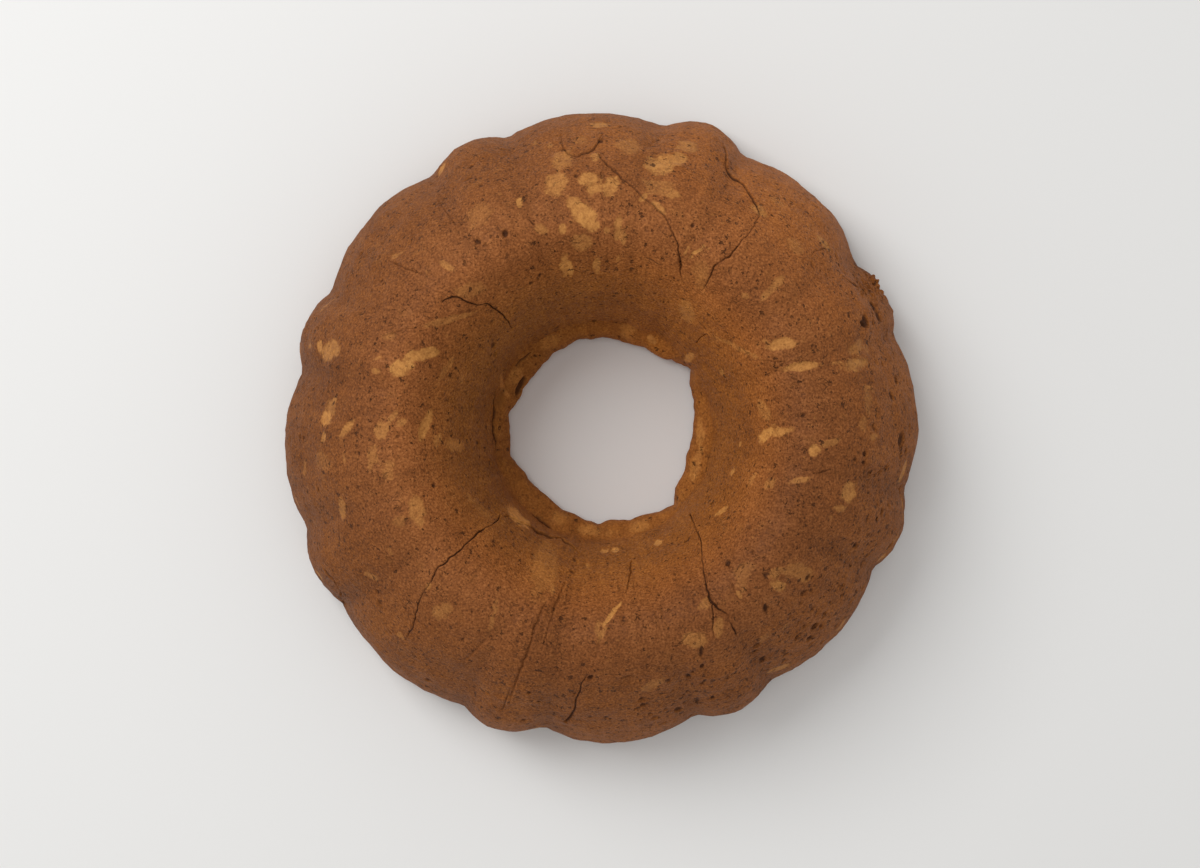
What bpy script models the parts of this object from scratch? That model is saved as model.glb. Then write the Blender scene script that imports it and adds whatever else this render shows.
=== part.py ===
"""Fluted ring cake, turned out of its pan, standing on the side that was its top in the oven.

Metres, +Z up. The origin is the middle of the foot, on the surface that the cake stands on.
A section of the ring is turned round Z. The flutes of the pan, the straight-sided torn lip
round the hole and the unevenness of a real bake are then worked into the turned surface.
"""

import math

import bpy
import numpy as np

MM = 0.001

# Driving sizes
HEIGHT = 78 * MM
CREASE_RADIUS = 117 * MM  # of the foot, in the creases between two flutes
CREST_RADIUS = 74 * MM  # of the ring's highest line
THROAT_RADIUS = 40.5 * MM  # of the inner wall, just above the lip
FLUTE_PAIRS = 8  # each pair is one wide and one narrow flute
WIDE_FLUTE_SHARE = 0.65  # of the pair's angle
FIRST_CREASE = math.radians(-11.2)
WIDE_FLUTE_DEPTH = 3.1 * MM
NARROW_FLUTE_DEPTH = 3.7 * MM
WIDE_FLUTE_ROUNDING = 2.3  # 2 is a plain arc, and more is flatter with steeper sides
NARROW_FLUTE_ROUNDING = 2.0
FLUTES_AT_FOOT = 0.9  # share of their full depth
FLUTES_HALFWAY = 0.5  # more than at the foot
FLUTES_AT_CREST = 0.6  # less than at the foot
FLUTES_IN_THROAT = 0.1
FLUTES_HIGH_IN_THROAT = 0.2  # more than at its foot
FLUTE_BLEND = 9 * MM  # to each side of the crest, between the outer wall and the throat

# Section of the ring
OUTER_TAPER = 11 * MM  # how far the outer wall leans in, besides its rounding
INNER_TAPER = 11 * MM
FOOT_LIFT = 5 * MM  # the domed foot rises this much towards its two edges
OUTER_FOOT_WIDTH = 13 * MM  # of the rounding from the flat of the foot to the outer wall
INNER_FOOT_WIDTH = 7 * MM
OUTER_ROWS = 11
INNER_ROWS = 10
FOOT_ROWS = 3
TURN_STEPS = 160  # 20 to each pair of flutes, so that every crease lies on a row of points

# The lip round the hole: straight torn sides between these corners, as degrees and radius
LIP_CORNERS = (
    (-158, 35.6 * MM),
    (-144, 33.7 * MM),
    (-121, 33.3 * MM),
    (-99, 35.8 * MM),
    (-92, 36.4 * MM),
    (-85, 34.9 * MM),
    (-73, 35.9 * MM),
    (-56, 37.4 * MM),
    (-46, 39.8 * MM),
    (-39, 36.4 * MM),
    (-21, 34.9 * MM),
    (11, 36.9 * MM),
    (27, 38.4 * MM),
    (35, 41.3 * MM),
    (45, 38.3 * MM),
    (51, 35.7 * MM),
    (64, 36.4 * MM),
    (90, 35.7 * MM),
    (104, 36.4 * MM),
    (122, 35.1 * MM),
    (148, 34.2 * MM),
    (165, 35.1 * MM),
    (171, 36.3 * MM),
    (195, 36.4 * MM),
)
LIP_HEIGHT = 9 * MM  # above this the throat is round again

# Crags where the crust crept over the pan's rim, as degrees, reach and half their width in degrees
CRAGS = (
    (29, 1.3 * MM, 2.5),
    (71, 1.4 * MM, 5.0),
    (214, 1.2 * MM, 3.5),
    (228, 0.9 * MM, 7.0),
    (348, 0.9 * MM, 4.0),
)
CRAG_HEIGHT = 8 * MM  # above this there are none

# Unevenness of the bake
OFF_CENTRE = 0.8 * MM  # of the outer wall from the throat
OFF_CENTRE_ANGLE = math.radians(129)
OVAL = 1.1 * MM
OVAL_ANGLE = math.radians(41)
THREE_SIDED = 0.6 * MM
THREE_SIDED_ANGLE = math.radians(-22)
CREST_TILT = 1.0 * MM  # one side of the ring rose a little higher
CREST_TILT_ANGLE = math.radians(120)
BULGE_SIZE = 0.5 * MM
BULGE_LENGTH = 46 * MM
LUMP_SIZE = 0.25 * MM
LUMP_LENGTH = 19 * MM

CRUST_COLOUR = (0.20, 0.082, 0.032, 1)
CRUST_ROUGHNESS = 0.6


def outer_wall(turn):
    """(radius, height) of the outer wall; turn is 0 at the foot and a quarter turn at the crest."""
    rounding = CREASE_RADIUS - CREST_RADIUS - OUTER_TAPER
    radius = CREST_RADIUS + rounding * math.cos(turn) + OUTER_TAPER * (1 - math.sin(turn))
    return radius, FOOT_LIFT + (HEIGHT - FOOT_LIFT) * math.sin(turn)


def inner_wall(turn):
    """(radius, height) of the wall of the throat, with turn as on the outer wall."""
    rounding = CREST_RADIUS - THROAT_RADIUS - INNER_TAPER
    radius = CREST_RADIUS - rounding * math.cos(turn) - INNER_TAPER * (1 - math.sin(turn))
    return radius, FOOT_LIFT + (HEIGHT - FOOT_LIFT) * math.sin(turn)


def foot_edge(wall_radius, width, turn):
    """(radius, height) from the flat of the foot, at turn 0, up to a wall, at a quarter turn."""
    flat_radius = wall_radius - width
    return flat_radius + width * math.sin(turn), FOOT_LIFT * (1 - math.cos(turn))


def section():
    """The closed section of the ring as (radius, height), from the outer edge up and round."""
    quarter = math.pi / 2
    up = [outer_wall(quarter * i / OUTER_ROWS) for i in range(OUTER_ROWS)]
    down = [inner_wall(quarter * (1 - i / INNER_ROWS)) for i in range(INNER_ROWS + 1)]
    turns = [quarter * (1 - i / FOOT_ROWS) for i in range(1, FOOT_ROWS + 1)]
    inner_edge = [foot_edge(THROAT_RADIUS, -INNER_FOOT_WIDTH, t) for t in turns]
    outer_edge = [foot_edge(CREASE_RADIUS, OUTER_FOOT_WIDTH, t) for t in reversed(turns)]
    first, last = inner_edge[-1][0], outer_edge[0][0]
    flat = [(first + (last - first) * share, 0.0) for share in (1 / 4, 2 / 4, 3 / 4)]
    return up + down + inner_edge + flat + outer_edge


def turned_ring():
    """The section turned round Z, as a mesh of its own. It runs down the outer side."""
    points = [
        (radius * math.cos(FIRST_CREASE), radius * math.sin(FIRST_CREASE), height)
        for radius, height in reversed(section())
    ]
    outline = bpy.data.meshes.new("section")
    edges = [(i, (i + 1) % len(points)) for i in range(len(points))]
    outline.from_pydata(points, edges, [])
    guide = bpy.data.objects.new("section", outline)
    bpy.context.scene.collection.objects.link(guide)

    screw = guide.modifiers.new("turn", "SCREW")
    screw.steps = TURN_STEPS
    screw.render_steps = TURN_STEPS
    screw.use_merge_vertices = True
    screw.merge_threshold = 0.05 * MM
    graph = bpy.context.evaluated_depsgraph_get()
    mesh = bpy.data.meshes.new_from_object(guide.evaluated_get(graph))
    bpy.data.objects.remove(guide)
    return mesh


def fade(value, low, high):
    """0 up to low and 1 from high on, with a smooth rise between."""
    share = np.clip((value - low) / (high - low), 0, 1)
    return share * share * (3 - 2 * share)


def flutes(angle):
    """How far the flutes stand out at full depth: nothing in the creases."""
    pair = 2 * math.pi / FLUTE_PAIRS
    share = ((angle - FIRST_CREASE) % pair) / pair
    wide = 1 - np.abs(share / WIDE_FLUTE_SHARE * 2 - 1) ** WIDE_FLUTE_ROUNDING
    narrow_share = (share - WIDE_FLUTE_SHARE) / (1 - WIDE_FLUTE_SHARE)
    narrow = 1 - np.abs(narrow_share * 2 - 1) ** NARROW_FLUTE_ROUNDING
    is_wide = share < WIDE_FLUTE_SHARE
    return np.where(is_wide, WIDE_FLUTE_DEPTH * wide, NARROW_FLUTE_DEPTH * narrow)


def flute_share(radius, height):
    """How much of their full depth the flutes have: most halfway up, and little on the crest."""
    rise = np.clip(height / HEIGHT, 0, 1)
    halfway = np.sin(math.pi * np.clip(rise / 0.6, 0, 1))
    outside = FLUTES_AT_FOOT + FLUTES_HALFWAY * halfway - FLUTES_AT_CREST * fade(rise, 0.5, 1.0)
    inside = FLUTES_IN_THROAT + FLUTES_HIGH_IN_THROAT * fade(rise, 0.1, 1.0)
    side = fade(radius, CREST_RADIUS - FLUTE_BLEND, CREST_RADIUS + FLUTE_BLEND)
    under = fade(radius, CREASE_RADIUS - OUTER_FOOT_WIDTH, CREASE_RADIUS - 1 * MM)
    on_foot = fade(height, 0, FOOT_LIFT)
    return (inside * (1 - side) + outside * side) * np.maximum(on_foot, under * side)


def lip_radius(angle):
    """Radius of the hole at the lip, straight from each corner to the next."""
    degrees = np.array([corner[0] for corner in LIP_CORNERS])
    radii = np.array([corner[1] for corner in LIP_CORNERS])
    corners = np.radians(np.append(degrees, degrees[0] + 360))
    radii = np.append(radii, radii[0])
    turned = corners[0] + (angle - corners[0]) % (2 * math.pi)
    side = np.clip(np.searchsorted(corners, turned, "right") - 1, 0, len(corners) - 2)
    start, end = corners[side], corners[side + 1]
    from_start = np.sin(turned - start) / radii[side + 1]
    from_end = np.sin(end - turned) / radii[side]
    return np.sin(end - start) / (from_start + from_end)


def crags(angle):
    """How far the crust's rim stands out at the foot."""
    reach = np.zeros_like(angle)
    for place, size, half_width in CRAGS:
        away = (np.degrees(angle) - place + 180) % 360 - 180
        reach += size * np.exp(-((away / half_width) ** 2))
    return reach


def waves(points, length, seed, count=14):
    """Smooth unevenness of about that wavelength, near 1 at its largest, the same at each run."""
    draw = np.random.default_rng(seed)
    ways = draw.normal(size=(count, 3))
    ways /= np.linalg.norm(ways, axis=1)[:, None]
    starts = draw.uniform(0, 2 * math.pi, count)
    turns = points @ ways.T * (2 * math.pi / length) + starts
    return np.sin(turns).sum(1) * math.sqrt(2 / count) / 1.6


def uneven(points, normals):
    """Works the flutes, the lip and the bake's unevenness into points of the turned ring."""
    angle = np.arctan2(points[:, 1], points[:, 0])
    radius = np.hypot(points[:, 0], points[:, 1])
    height = points[:, 2].copy()
    off_foot = fade(height, 0, FOOT_LIFT)
    rise = np.clip(height / HEIGHT, 0, 1)

    outward = flutes(angle) * flute_share(radius, height)
    outward += BULGE_SIZE * off_foot * waves(points, BULGE_LENGTH, seed=5)
    outward += LUMP_SIZE * off_foot * waves(points, LUMP_LENGTH, seed=8)
    moved = points + normals * outward[:, None]

    outer = fade(radius, CREST_RADIUS, CREASE_RADIUS)
    inner = 1 - fade(radius, THROAT_RADIUS, CREST_RADIUS)
    at_lip = 1 - fade(height, FOOT_LIFT, LIP_HEIGHT + FOOT_LIFT)
    at_rim = 1 - fade(height, FOOT_LIFT, CRAG_HEIGHT + FOOT_LIFT)
    sideways = OFF_CENTRE * np.cos(angle - OFF_CENTRE_ANGLE)
    sideways += OVAL * np.cos(2 * (angle - OVAL_ANGLE))
    sideways += THREE_SIDED * np.cos(3 * (angle - THREE_SIDED_ANGLE))
    sideways = (sideways + crags(angle) * at_rim) * outer
    sideways += (lip_radius(angle) - THROAT_RADIUS) * at_lip * inner
    moved[:, 0] += np.cos(angle) * sideways
    moved[:, 1] += np.sin(angle) * sideways
    moved[:, 2] += CREST_TILT * rise**2 * np.cos(angle - CREST_TILT_ANGLE)
    moved[:, 2] = np.where(height <= 0, 0.0, np.maximum(moved[:, 2], 0.1 * MM * off_foot))
    return moved


def settled(points):
    """Points with the middle of their outline over the origin, and their crest at its height."""
    middle = (points.min(0) + points.max(0)) / 2
    moved = points - np.array([middle[0], middle[1], 0])
    moved[:, 2] *= HEIGHT / points[:, 2].max()
    return moved


def crust():
    material = bpy.data.materials.new("crust")
    material.use_nodes = True
    shader = material.node_tree.nodes["Principled BSDF"]
    shader.inputs["Base Color"].default_value = CRUST_COLOUR
    shader.inputs["Roughness"].default_value = CRUST_ROUGHNESS
    shader.inputs["Metallic"].default_value = 0
    return material


def make_cake(collection):
    mesh = turned_ring()
    mesh.name = "cake"
    count = len(mesh.vertices)
    points = np.empty(count * 3)
    normals = np.empty(count * 3)
    mesh.vertices.foreach_get("co", points)
    mesh.vertex_normals.foreach_get("vector", normals)
    moved = settled(uneven(points.reshape(-1, 3), normals.reshape(-1, 3)))
    mesh.vertices.foreach_set("co", moved.ravel())
    mesh.update()
    mesh.shade_smooth()
    mesh.materials.clear()
    mesh.materials.append(crust())
    cake = bpy.data.objects.new("cake", mesh)
    collection.objects.link(cake)


def main():
    for thing in list(bpy.data.objects):
        bpy.data.objects.remove(thing)
    collection = bpy.data.collections.new("ring_cake")
    bpy.context.scene.collection.children.link(collection)
    make_cake(collection)


main()
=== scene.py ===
"""The looks of the fluted ring cake: its crust with cracks, pits, pale spots and the torn lip.

The solid's form is worked out again from the same sizes, on a closed grid that is fine where the
crust has detail. The relief is then real geometry, and what is smaller than a grain of sugar is
the crust material's. Lengths are metres, or millimetres where a value isn't multiplied by MM.
"""

import math

import bmesh
import bpy
import numpy as np
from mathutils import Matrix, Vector
from mathutils.kdtree import KDTree


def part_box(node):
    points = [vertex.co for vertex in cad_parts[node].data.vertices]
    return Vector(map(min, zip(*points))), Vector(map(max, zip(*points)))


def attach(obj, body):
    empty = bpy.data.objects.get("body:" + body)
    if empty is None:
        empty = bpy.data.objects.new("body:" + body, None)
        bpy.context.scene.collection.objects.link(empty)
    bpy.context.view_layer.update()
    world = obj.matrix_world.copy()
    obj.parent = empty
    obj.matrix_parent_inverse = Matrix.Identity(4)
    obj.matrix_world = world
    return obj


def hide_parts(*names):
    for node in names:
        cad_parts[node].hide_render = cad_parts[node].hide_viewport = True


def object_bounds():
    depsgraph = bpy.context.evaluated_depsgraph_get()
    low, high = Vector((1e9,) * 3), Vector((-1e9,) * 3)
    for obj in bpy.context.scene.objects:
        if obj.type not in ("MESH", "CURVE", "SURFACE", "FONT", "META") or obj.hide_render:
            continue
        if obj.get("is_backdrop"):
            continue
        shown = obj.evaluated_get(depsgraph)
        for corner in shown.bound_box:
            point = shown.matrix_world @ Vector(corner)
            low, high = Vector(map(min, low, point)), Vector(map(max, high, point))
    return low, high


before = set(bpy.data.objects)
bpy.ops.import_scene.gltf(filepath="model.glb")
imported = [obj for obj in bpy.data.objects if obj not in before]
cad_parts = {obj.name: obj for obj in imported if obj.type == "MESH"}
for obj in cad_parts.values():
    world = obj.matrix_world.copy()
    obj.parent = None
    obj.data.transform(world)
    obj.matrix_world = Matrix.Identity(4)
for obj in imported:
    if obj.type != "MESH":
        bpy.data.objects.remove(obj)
CAD_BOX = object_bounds()

MM = 0.001
TURN = 2 * math.pi

# Camera: straight above, with 1200 x 868 pixels of 0.385 mm each at the foot
PHOTO_WIDTH = 1200
PHOTO_HEIGHT = 868
PIXEL = 0.385 * MM
MIDDLE_PIXEL = (601.5, 428.5)  # of the cake's outline
CAMERA_HEIGHT = 0.9
SENSOR_WIDTH = 36.0

# One soft light from the upper left of the photo, and the even light round about
LIGHT_PLACE = (-0.82, 0.69, 1.22)
LIGHT_TARGET = (0, 0, 0.04)
LIGHT_SIZE = 0.9
LIGHT_POWER = 14.5
SKY_STRENGTH = 0.62

# The ring's section, the same as the solid's
HEIGHT = 78 * MM
CREASE_RADIUS = 117 * MM
CREST_RADIUS = 74 * MM
THROAT_RADIUS = 40.5 * MM
FLUTE_PAIRS = 8
WIDE_FLUTE_SHARE = 0.65
FIRST_CREASE = math.radians(-11.2)
WIDE_FLUTE_DEPTH = 3.1 * MM
NARROW_FLUTE_DEPTH = 3.7 * MM
WIDE_FLUTE_ROUNDING = 2.3
NARROW_FLUTE_ROUNDING = 2.0
FLUTES_AT_FOOT = 0.9
FLUTES_HALFWAY = 0.5
FLUTES_AT_CREST = 0.6
FLUTES_IN_THROAT = 0.1
FLUTES_HIGH_IN_THROAT = 0.2
FLUTE_BLEND = 9 * MM
OUTER_TAPER = 11 * MM
INNER_TAPER = 11 * MM
FOOT_LIFT = 5 * MM
OUTER_FOOT_WIDTH = 13 * MM
INNER_FOOT_WIDTH = 7 * MM

# The torn lip of the hole, as degrees and radius of its corners
LIP_CORNERS = (
    (-158, 35.6 * MM), (-144, 33.7 * MM), (-121, 33.3 * MM), (-99, 35.8 * MM), (-92, 36.4 * MM),
    (-85, 34.9 * MM), (-73, 35.9 * MM), (-56, 37.4 * MM), (-46, 39.8 * MM), (-39, 36.4 * MM),
    (-21, 34.9 * MM), (11, 36.9 * MM), (27, 38.4 * MM), (35, 41.3 * MM), (45, 38.3 * MM),
    (51, 35.7 * MM), (64, 36.4 * MM), (90, 35.7 * MM), (104, 36.4 * MM), (122, 35.1 * MM),
    (148, 34.2 * MM), (165, 35.1 * MM), (171, 36.3 * MM), (195, 36.4 * MM),
)
LIP_HEIGHT = 9 * MM

# Crags of the crust's rim, as degrees, reach and half their width in degrees
CRAGS = (
    (29, 1.3 * MM, 2.5),
    (71, 1.4 * MM, 5.0),
    (214, 1.2 * MM, 3.5),
    (228, 0.9 * MM, 7.0),
    (348, 0.9 * MM, 4.0),
)
CRAG_HEIGHT = 8 * MM

# Where crust is torn off the rim: degrees, half the width in degrees, and depth
TORN_RIM_ANGLE = 28.3
TORN_RIM_HALF_WIDTH = 6.5
TORN_RIM_DEPTH = 4.4 * MM

# Crumbs that hang there: degrees, millimetres up the wall, across, and how far they stand out
RIM_CRUMBS = (
    (29.5, 8, 4.6, 2.3), (28.0, 9, 3.4, 1.6), (30.7, 12, 3.0, 0.9), (24.8, 10, 2.8, 0.6),
    (28.8, 14, 2.8, 0.8), (22.4, 8, 2.6, 0.45), (26.3, 7, 2.6, 0.6),
)

# Unevenness of the bake
OFF_CENTRE = 0.8 * MM
OFF_CENTRE_ANGLE = math.radians(129)
OVAL = 1.1 * MM
OVAL_ANGLE = math.radians(41)
THREE_SIDED = 0.6 * MM
THREE_SIDED_ANGLE = math.radians(-22)
CREST_TILT = 1.0 * MM
CREST_TILT_ANGLE = math.radians(120)
BULGE_SIZE = 0.5 * MM
BULGE_LENGTH = 46 * MM
LUMP_SIZE = 0.25 * MM
LUMP_LENGTH = 19 * MM

# The grid: its spacing where nothing is refined, and how near a feature each halving reaches
TURN_STEPS = 272
ROW_SPACING = 2.3 * MM
THROAT_ROW_SPACING = 1.2 * MM
FOOT_ROW_SPACING = 5.0 * MM
LIP_ROWS_REACH = 16 * MM
FOOT_MARGIN = 6 * MM
REFINED_WITHIN = (2.0 * MM, 1.0 * MM, 0.45 * MM)

# What is added to the distance from a detail, so that the grid is no finer there than it has to
# be: the half width below which the detail is small, then for a small and for a large one, all
# in millimetres. Spots that are less pale than the last number have no finer grid.
CRUMB_ADDS = (0.0, 0.3, 0.3)
PIT_ADDS = (0.75, 0.9, 0.55)
SPOT_ADDS = (1.5, 0.8, 1.3)
LEAST_REFINED_PALENESS = 0.4

# Cracks and creases in the crust: half width in millimetres, how dark the shade painted along it
# is, how much higher in millimetres the side to the left of its course is, and the course in
# pixels of the photo. A third number at a point widens or narrows the crack there.
CRACKS = {
    "lower_left": (0.15, 0.85, 0.25, (
        (500, 514, 0.8), (497, 521), (490, 526, 0.5), (485, 528, 0.7), (478, 533, 2.2), (470, 541),
        (460, 550, 1.2), (450, 558, 1.5), (442, 565), (436, 570), (433, 577, 1.5), (428, 586, 0.6),
        (421, 597, 0.8), (418, 608, 1.4), (415, 616), (413, 627), (409, 634), (406, 640, 0.4),
    )),
    "lower_right": (0.17, 0.9, 0.3, (
        (690, 514, 1.6), (695, 526, 0.5), (699, 536, 1.3), (702, 544, 1.2), (702, 558, 0.7),
        (705, 580), (708, 591, 1.5), (712, 601, 3.4), (716, 606, 2.2), (721, 610), (727, 614, 0.5),
        (731, 621, 0.25), (733, 627, 0.9), (736, 632, 1.8), (737, 635, 0.8),
    )),
    "lower_right_branch": (0.15, 0.6, 0.0, (
        (712, 603, 1.5), (713, 612), (713, 622), (714, 637, 0.4),
    )),
    "upper_middle": (0.16, 0.62, 0.5, (
        (598, 155, 0.6), (612, 168, 1.3), (622, 178, 1.2), (634, 187, 0.8), (646, 198, 0.9),
        (655, 206, 0.9), (665, 216, 0.9), (671, 229, 1.0), (677, 241, 1.1), (679, 253, 1.6),
        (680, 260, 3.0), (680.5, 267, 3.2), (681, 272, 1.2), (684, 284, 0.5),
    )),
    "upper_right_rim": (0.16, 0.75, 0.5, (
        (722, 143, 0.5), (725, 152), (726, 158), (727, 168), (729, 173, 3.0), (733, 177, 2.2),
        (742, 182), (750, 195, 1.2), (756, 204, 1.8), (759, 211, 1.4), (760, 214, 0.5),
    )),
    "upper_right": (0.15, 0.65, 0.3, (
        (759, 214, 0.6), (757, 222, 0.6), (750, 233, 0.7), (740, 243), (734, 251, 1.8),
        (729, 257, 2.0), (724, 259), (718, 263, 0.6), (713, 269, 1.6), (708, 281, 0.9),
        (704, 289, 0.4),
    )),
    "upper_left": (0.17, 0.8, 0.3, (
        (442, 302, 0.7), (448, 299, 1.5), (455, 297, 1.3), (462, 300), (468, 302, 1.6),
        (478, 305, 1.2), (486, 304, 1.4), (492, 306, 1.6), (499, 312, 1.2), (506, 319),
        (512, 329, 0.6),
    )),
    "upper_left_fine": (0.15, 0.55, 0.1, (
        (389, 261, 0.6), (398, 265), (405, 268), (422, 274, 0.6),
    )),
    "left_line": (0.14, 0.45, 0.1, (
        (382, 336, 0.6), (391, 333), (402, 330, 0.6), (414, 328, 0.4),
    )),
    "top_left_fine": (0.15, 0.5, 0.1, ((438, 200, 0.5), (446, 212), (455, 225, 0.5))),
    "round_piece": (0.20, 0.55, 0.4, (
        (560.5, 134, 0.5), (561.5, 141), (563.5, 148, 1.2), (568, 153, 1.3), (575, 155.5, 1.3),
        (583, 154.5, 1.3), (589.5, 151.5, 1.3), (595, 147, 1.2), (599, 141), (602, 135, 0.6),
    )),
    "bottom": (0.24, 0.85, 0.3, (
        (586, 676, 0.4), (581, 688, 0.8), (577, 699), (575, 709, 1.2), (571, 716, 2.0),
        (566, 722, 2.2),
    )),
    "bottom_groove": (0.30, 0.45, 0.0, ((632, 560, 0.8), (630, 574), (626, 594, 0.5))),
    "bottom_left_fine": (0.15, 0.6, 0.1, (
        (510, 688, 0.6), (507, 697), (504, 706, 1.3), (501, 711, 0.6),
    )),
    "flute_line_low": (0.65, 0.36, 0.3, (
        (566, 582, 0.5), (557, 603, 1.0), (552, 618, 0.7), (548, 630, 0.5), (543, 650, 0.4),
    )),
    "flute_line_long": (0.55, 0.36, 0.5, (
        (546, 603, 0.6), (540, 617), (534, 632), (529, 650), (522, 668), (514, 690, 0.8),
        (509, 704, 0.5),
    )),
    "flute_line_left": (0.7, 0.28, 0.3, (
        (491, 632, 0.6), (485, 643), (476, 650), (467, 659, 0.6),
    )),
    "flute_line_right": (0.6, 0.25, 0.2, ((656, 612, 0.6), (659, 622), (662, 634, 0.5))),
    "flute_line_middle": (0.7, 0.26, 0.2, (
        (603, 630, 0.5), (600, 641), (597, 655), (592, 668, 0.5),
    )),
    "flute_line_top": (0.6, 0.2, 0.2, ((444, 322, 0.5), (462, 312, 0.8), (480, 310, 0.6))),
    "right_rim": (0.26, 0.8, 0.2, ((847, 279, 0.6), (854, 281), (860, 282, 1.3), (867, 284, 0.9))),
    "piece_arc": (0.12, 0.4, 0.0, (
        (683, 641, 0.6), (687, 636), (694, 633.5), (699, 635), (703, 640, 0.6),
    )),
    "small_arc": (0.2, 0.6, 0.2, ((736, 571, 0.8), (740, 566), (746, 565, 0.6))),
    "piece_left": (0.13, 0.4, 0.1, (
        (730, 579, 0.5), (733, 588, 0.8), (737, 597, 1.3), (743, 603, 0.5),
    )),
    "piece_top": (0.12, 0.22, 0.1, ((776, 566, 0.6), (786, 564.5), (800, 564, 0.5))),
    "branching": (0.13, 0.36, 0.1, (
        (764, 587, 0.9), (760, 589, 0.8), (758, 592, 0.6), (762, 598, 0.7), (764, 603, 0.4),
    )),
    "right_arc": (0.16, 0.4, 0.1, ((810, 256, 0.5), (818, 251), (828, 246, 0.6))),
    "right_line": (0.10, 0.25, 0.1, (
        (745, 361, 0.6), (763, 360), (780, 362), (800, 361), (830, 362), (846, 359, 0.7),
        (852, 357), (864, 360, 1.4), (870, 363, 0.8),
    )),
    "right_line_low": (0.3, 0.35, 0.1, (
        (864, 478, 0.5), (874, 475, 1.0), (883, 470, 1.2), (889, 466),
    )),
    "right_line_inner": (0.25, 0.4, 0.0, ((814, 474, 0.6), (823, 472, 1.2), (831, 470, 0.6))),
    "lip_corner": (0.15, 0.5, 0.1, ((696, 343, 0.8), (701, 338), (707, 334, 0.5))),
    "top_squiggle": (0.15, 0.6, 0.1, ((646, 258, 0.7), (651, 260), (655, 263), (662, 265, 0.6))),
    "top_squiggle_left": (0.14, 0.45, 0.0, ((604, 262, 0.6), (613, 265), (622, 261, 0.6))),
    "under_spots": (0.15, 0.5, 0.0, ((572, 270, 0.7), (582, 272), (590, 270, 0.8))),
    "spot_shadow": (0.3, 0.25, 0.0, ((561, 200, 0.6), (558, 206), (557, 215, 0.5))),
    "top_fold": (0.5, 0.25, 0.2, ((643, 152, 0.5), (650, 144), (660, 140, 0.5))),
    "big_spot_fold": (0.25, 0.35, 0.2, ((669, 164, 0.7), (680, 168), (692, 177, 0.6))),
    "left_mark": (0.2, 0.6, 0.0, ((530, 220, 0.8), (534, 225, 1.2))),
    "lip_left": (0.26, 0.7, 0.2, (
        (497, 392, 0.6), (494, 404), (495, 414, 1.4), (493.5, 424), (494, 434), (496, 448, 0.6),
    )),
    "lip_pore_line": (0.25, 0.6, 0.0, ((531, 353, 0.7), (524, 358, 1.5), (517, 366, 0.8))),
    "lip_lower_left": (0.26, 0.62, 0.5, (
        (505, 516, 0.6), (516, 518, 0.4), (529, 526, 0.6), (540, 533, 1.3), (553, 538, 1.0),
        (559, 538, 0.3), (566, 541.5, 1.7), (574, 547, 0.6), (580, 553, 0.35),
    )),
    "lip_fold": (0.7, 0.6, 0.3, (
        (533, 513, 0.5), (540, 520, 1.2), (549, 526, 0.9), (554, 529, 0.4),
    )),
    "left_rim": (0.32, 0.65, 0.3, (
        (325, 570, 0.8), (331, 578, 1.4), (338, 587, 1.2), (344, 604, 0.7),
    )),
    "left_rim_low": (0.25, 0.6, 0.2, ((388, 628, 0.7), (392, 632, 1.0))),
}

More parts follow.
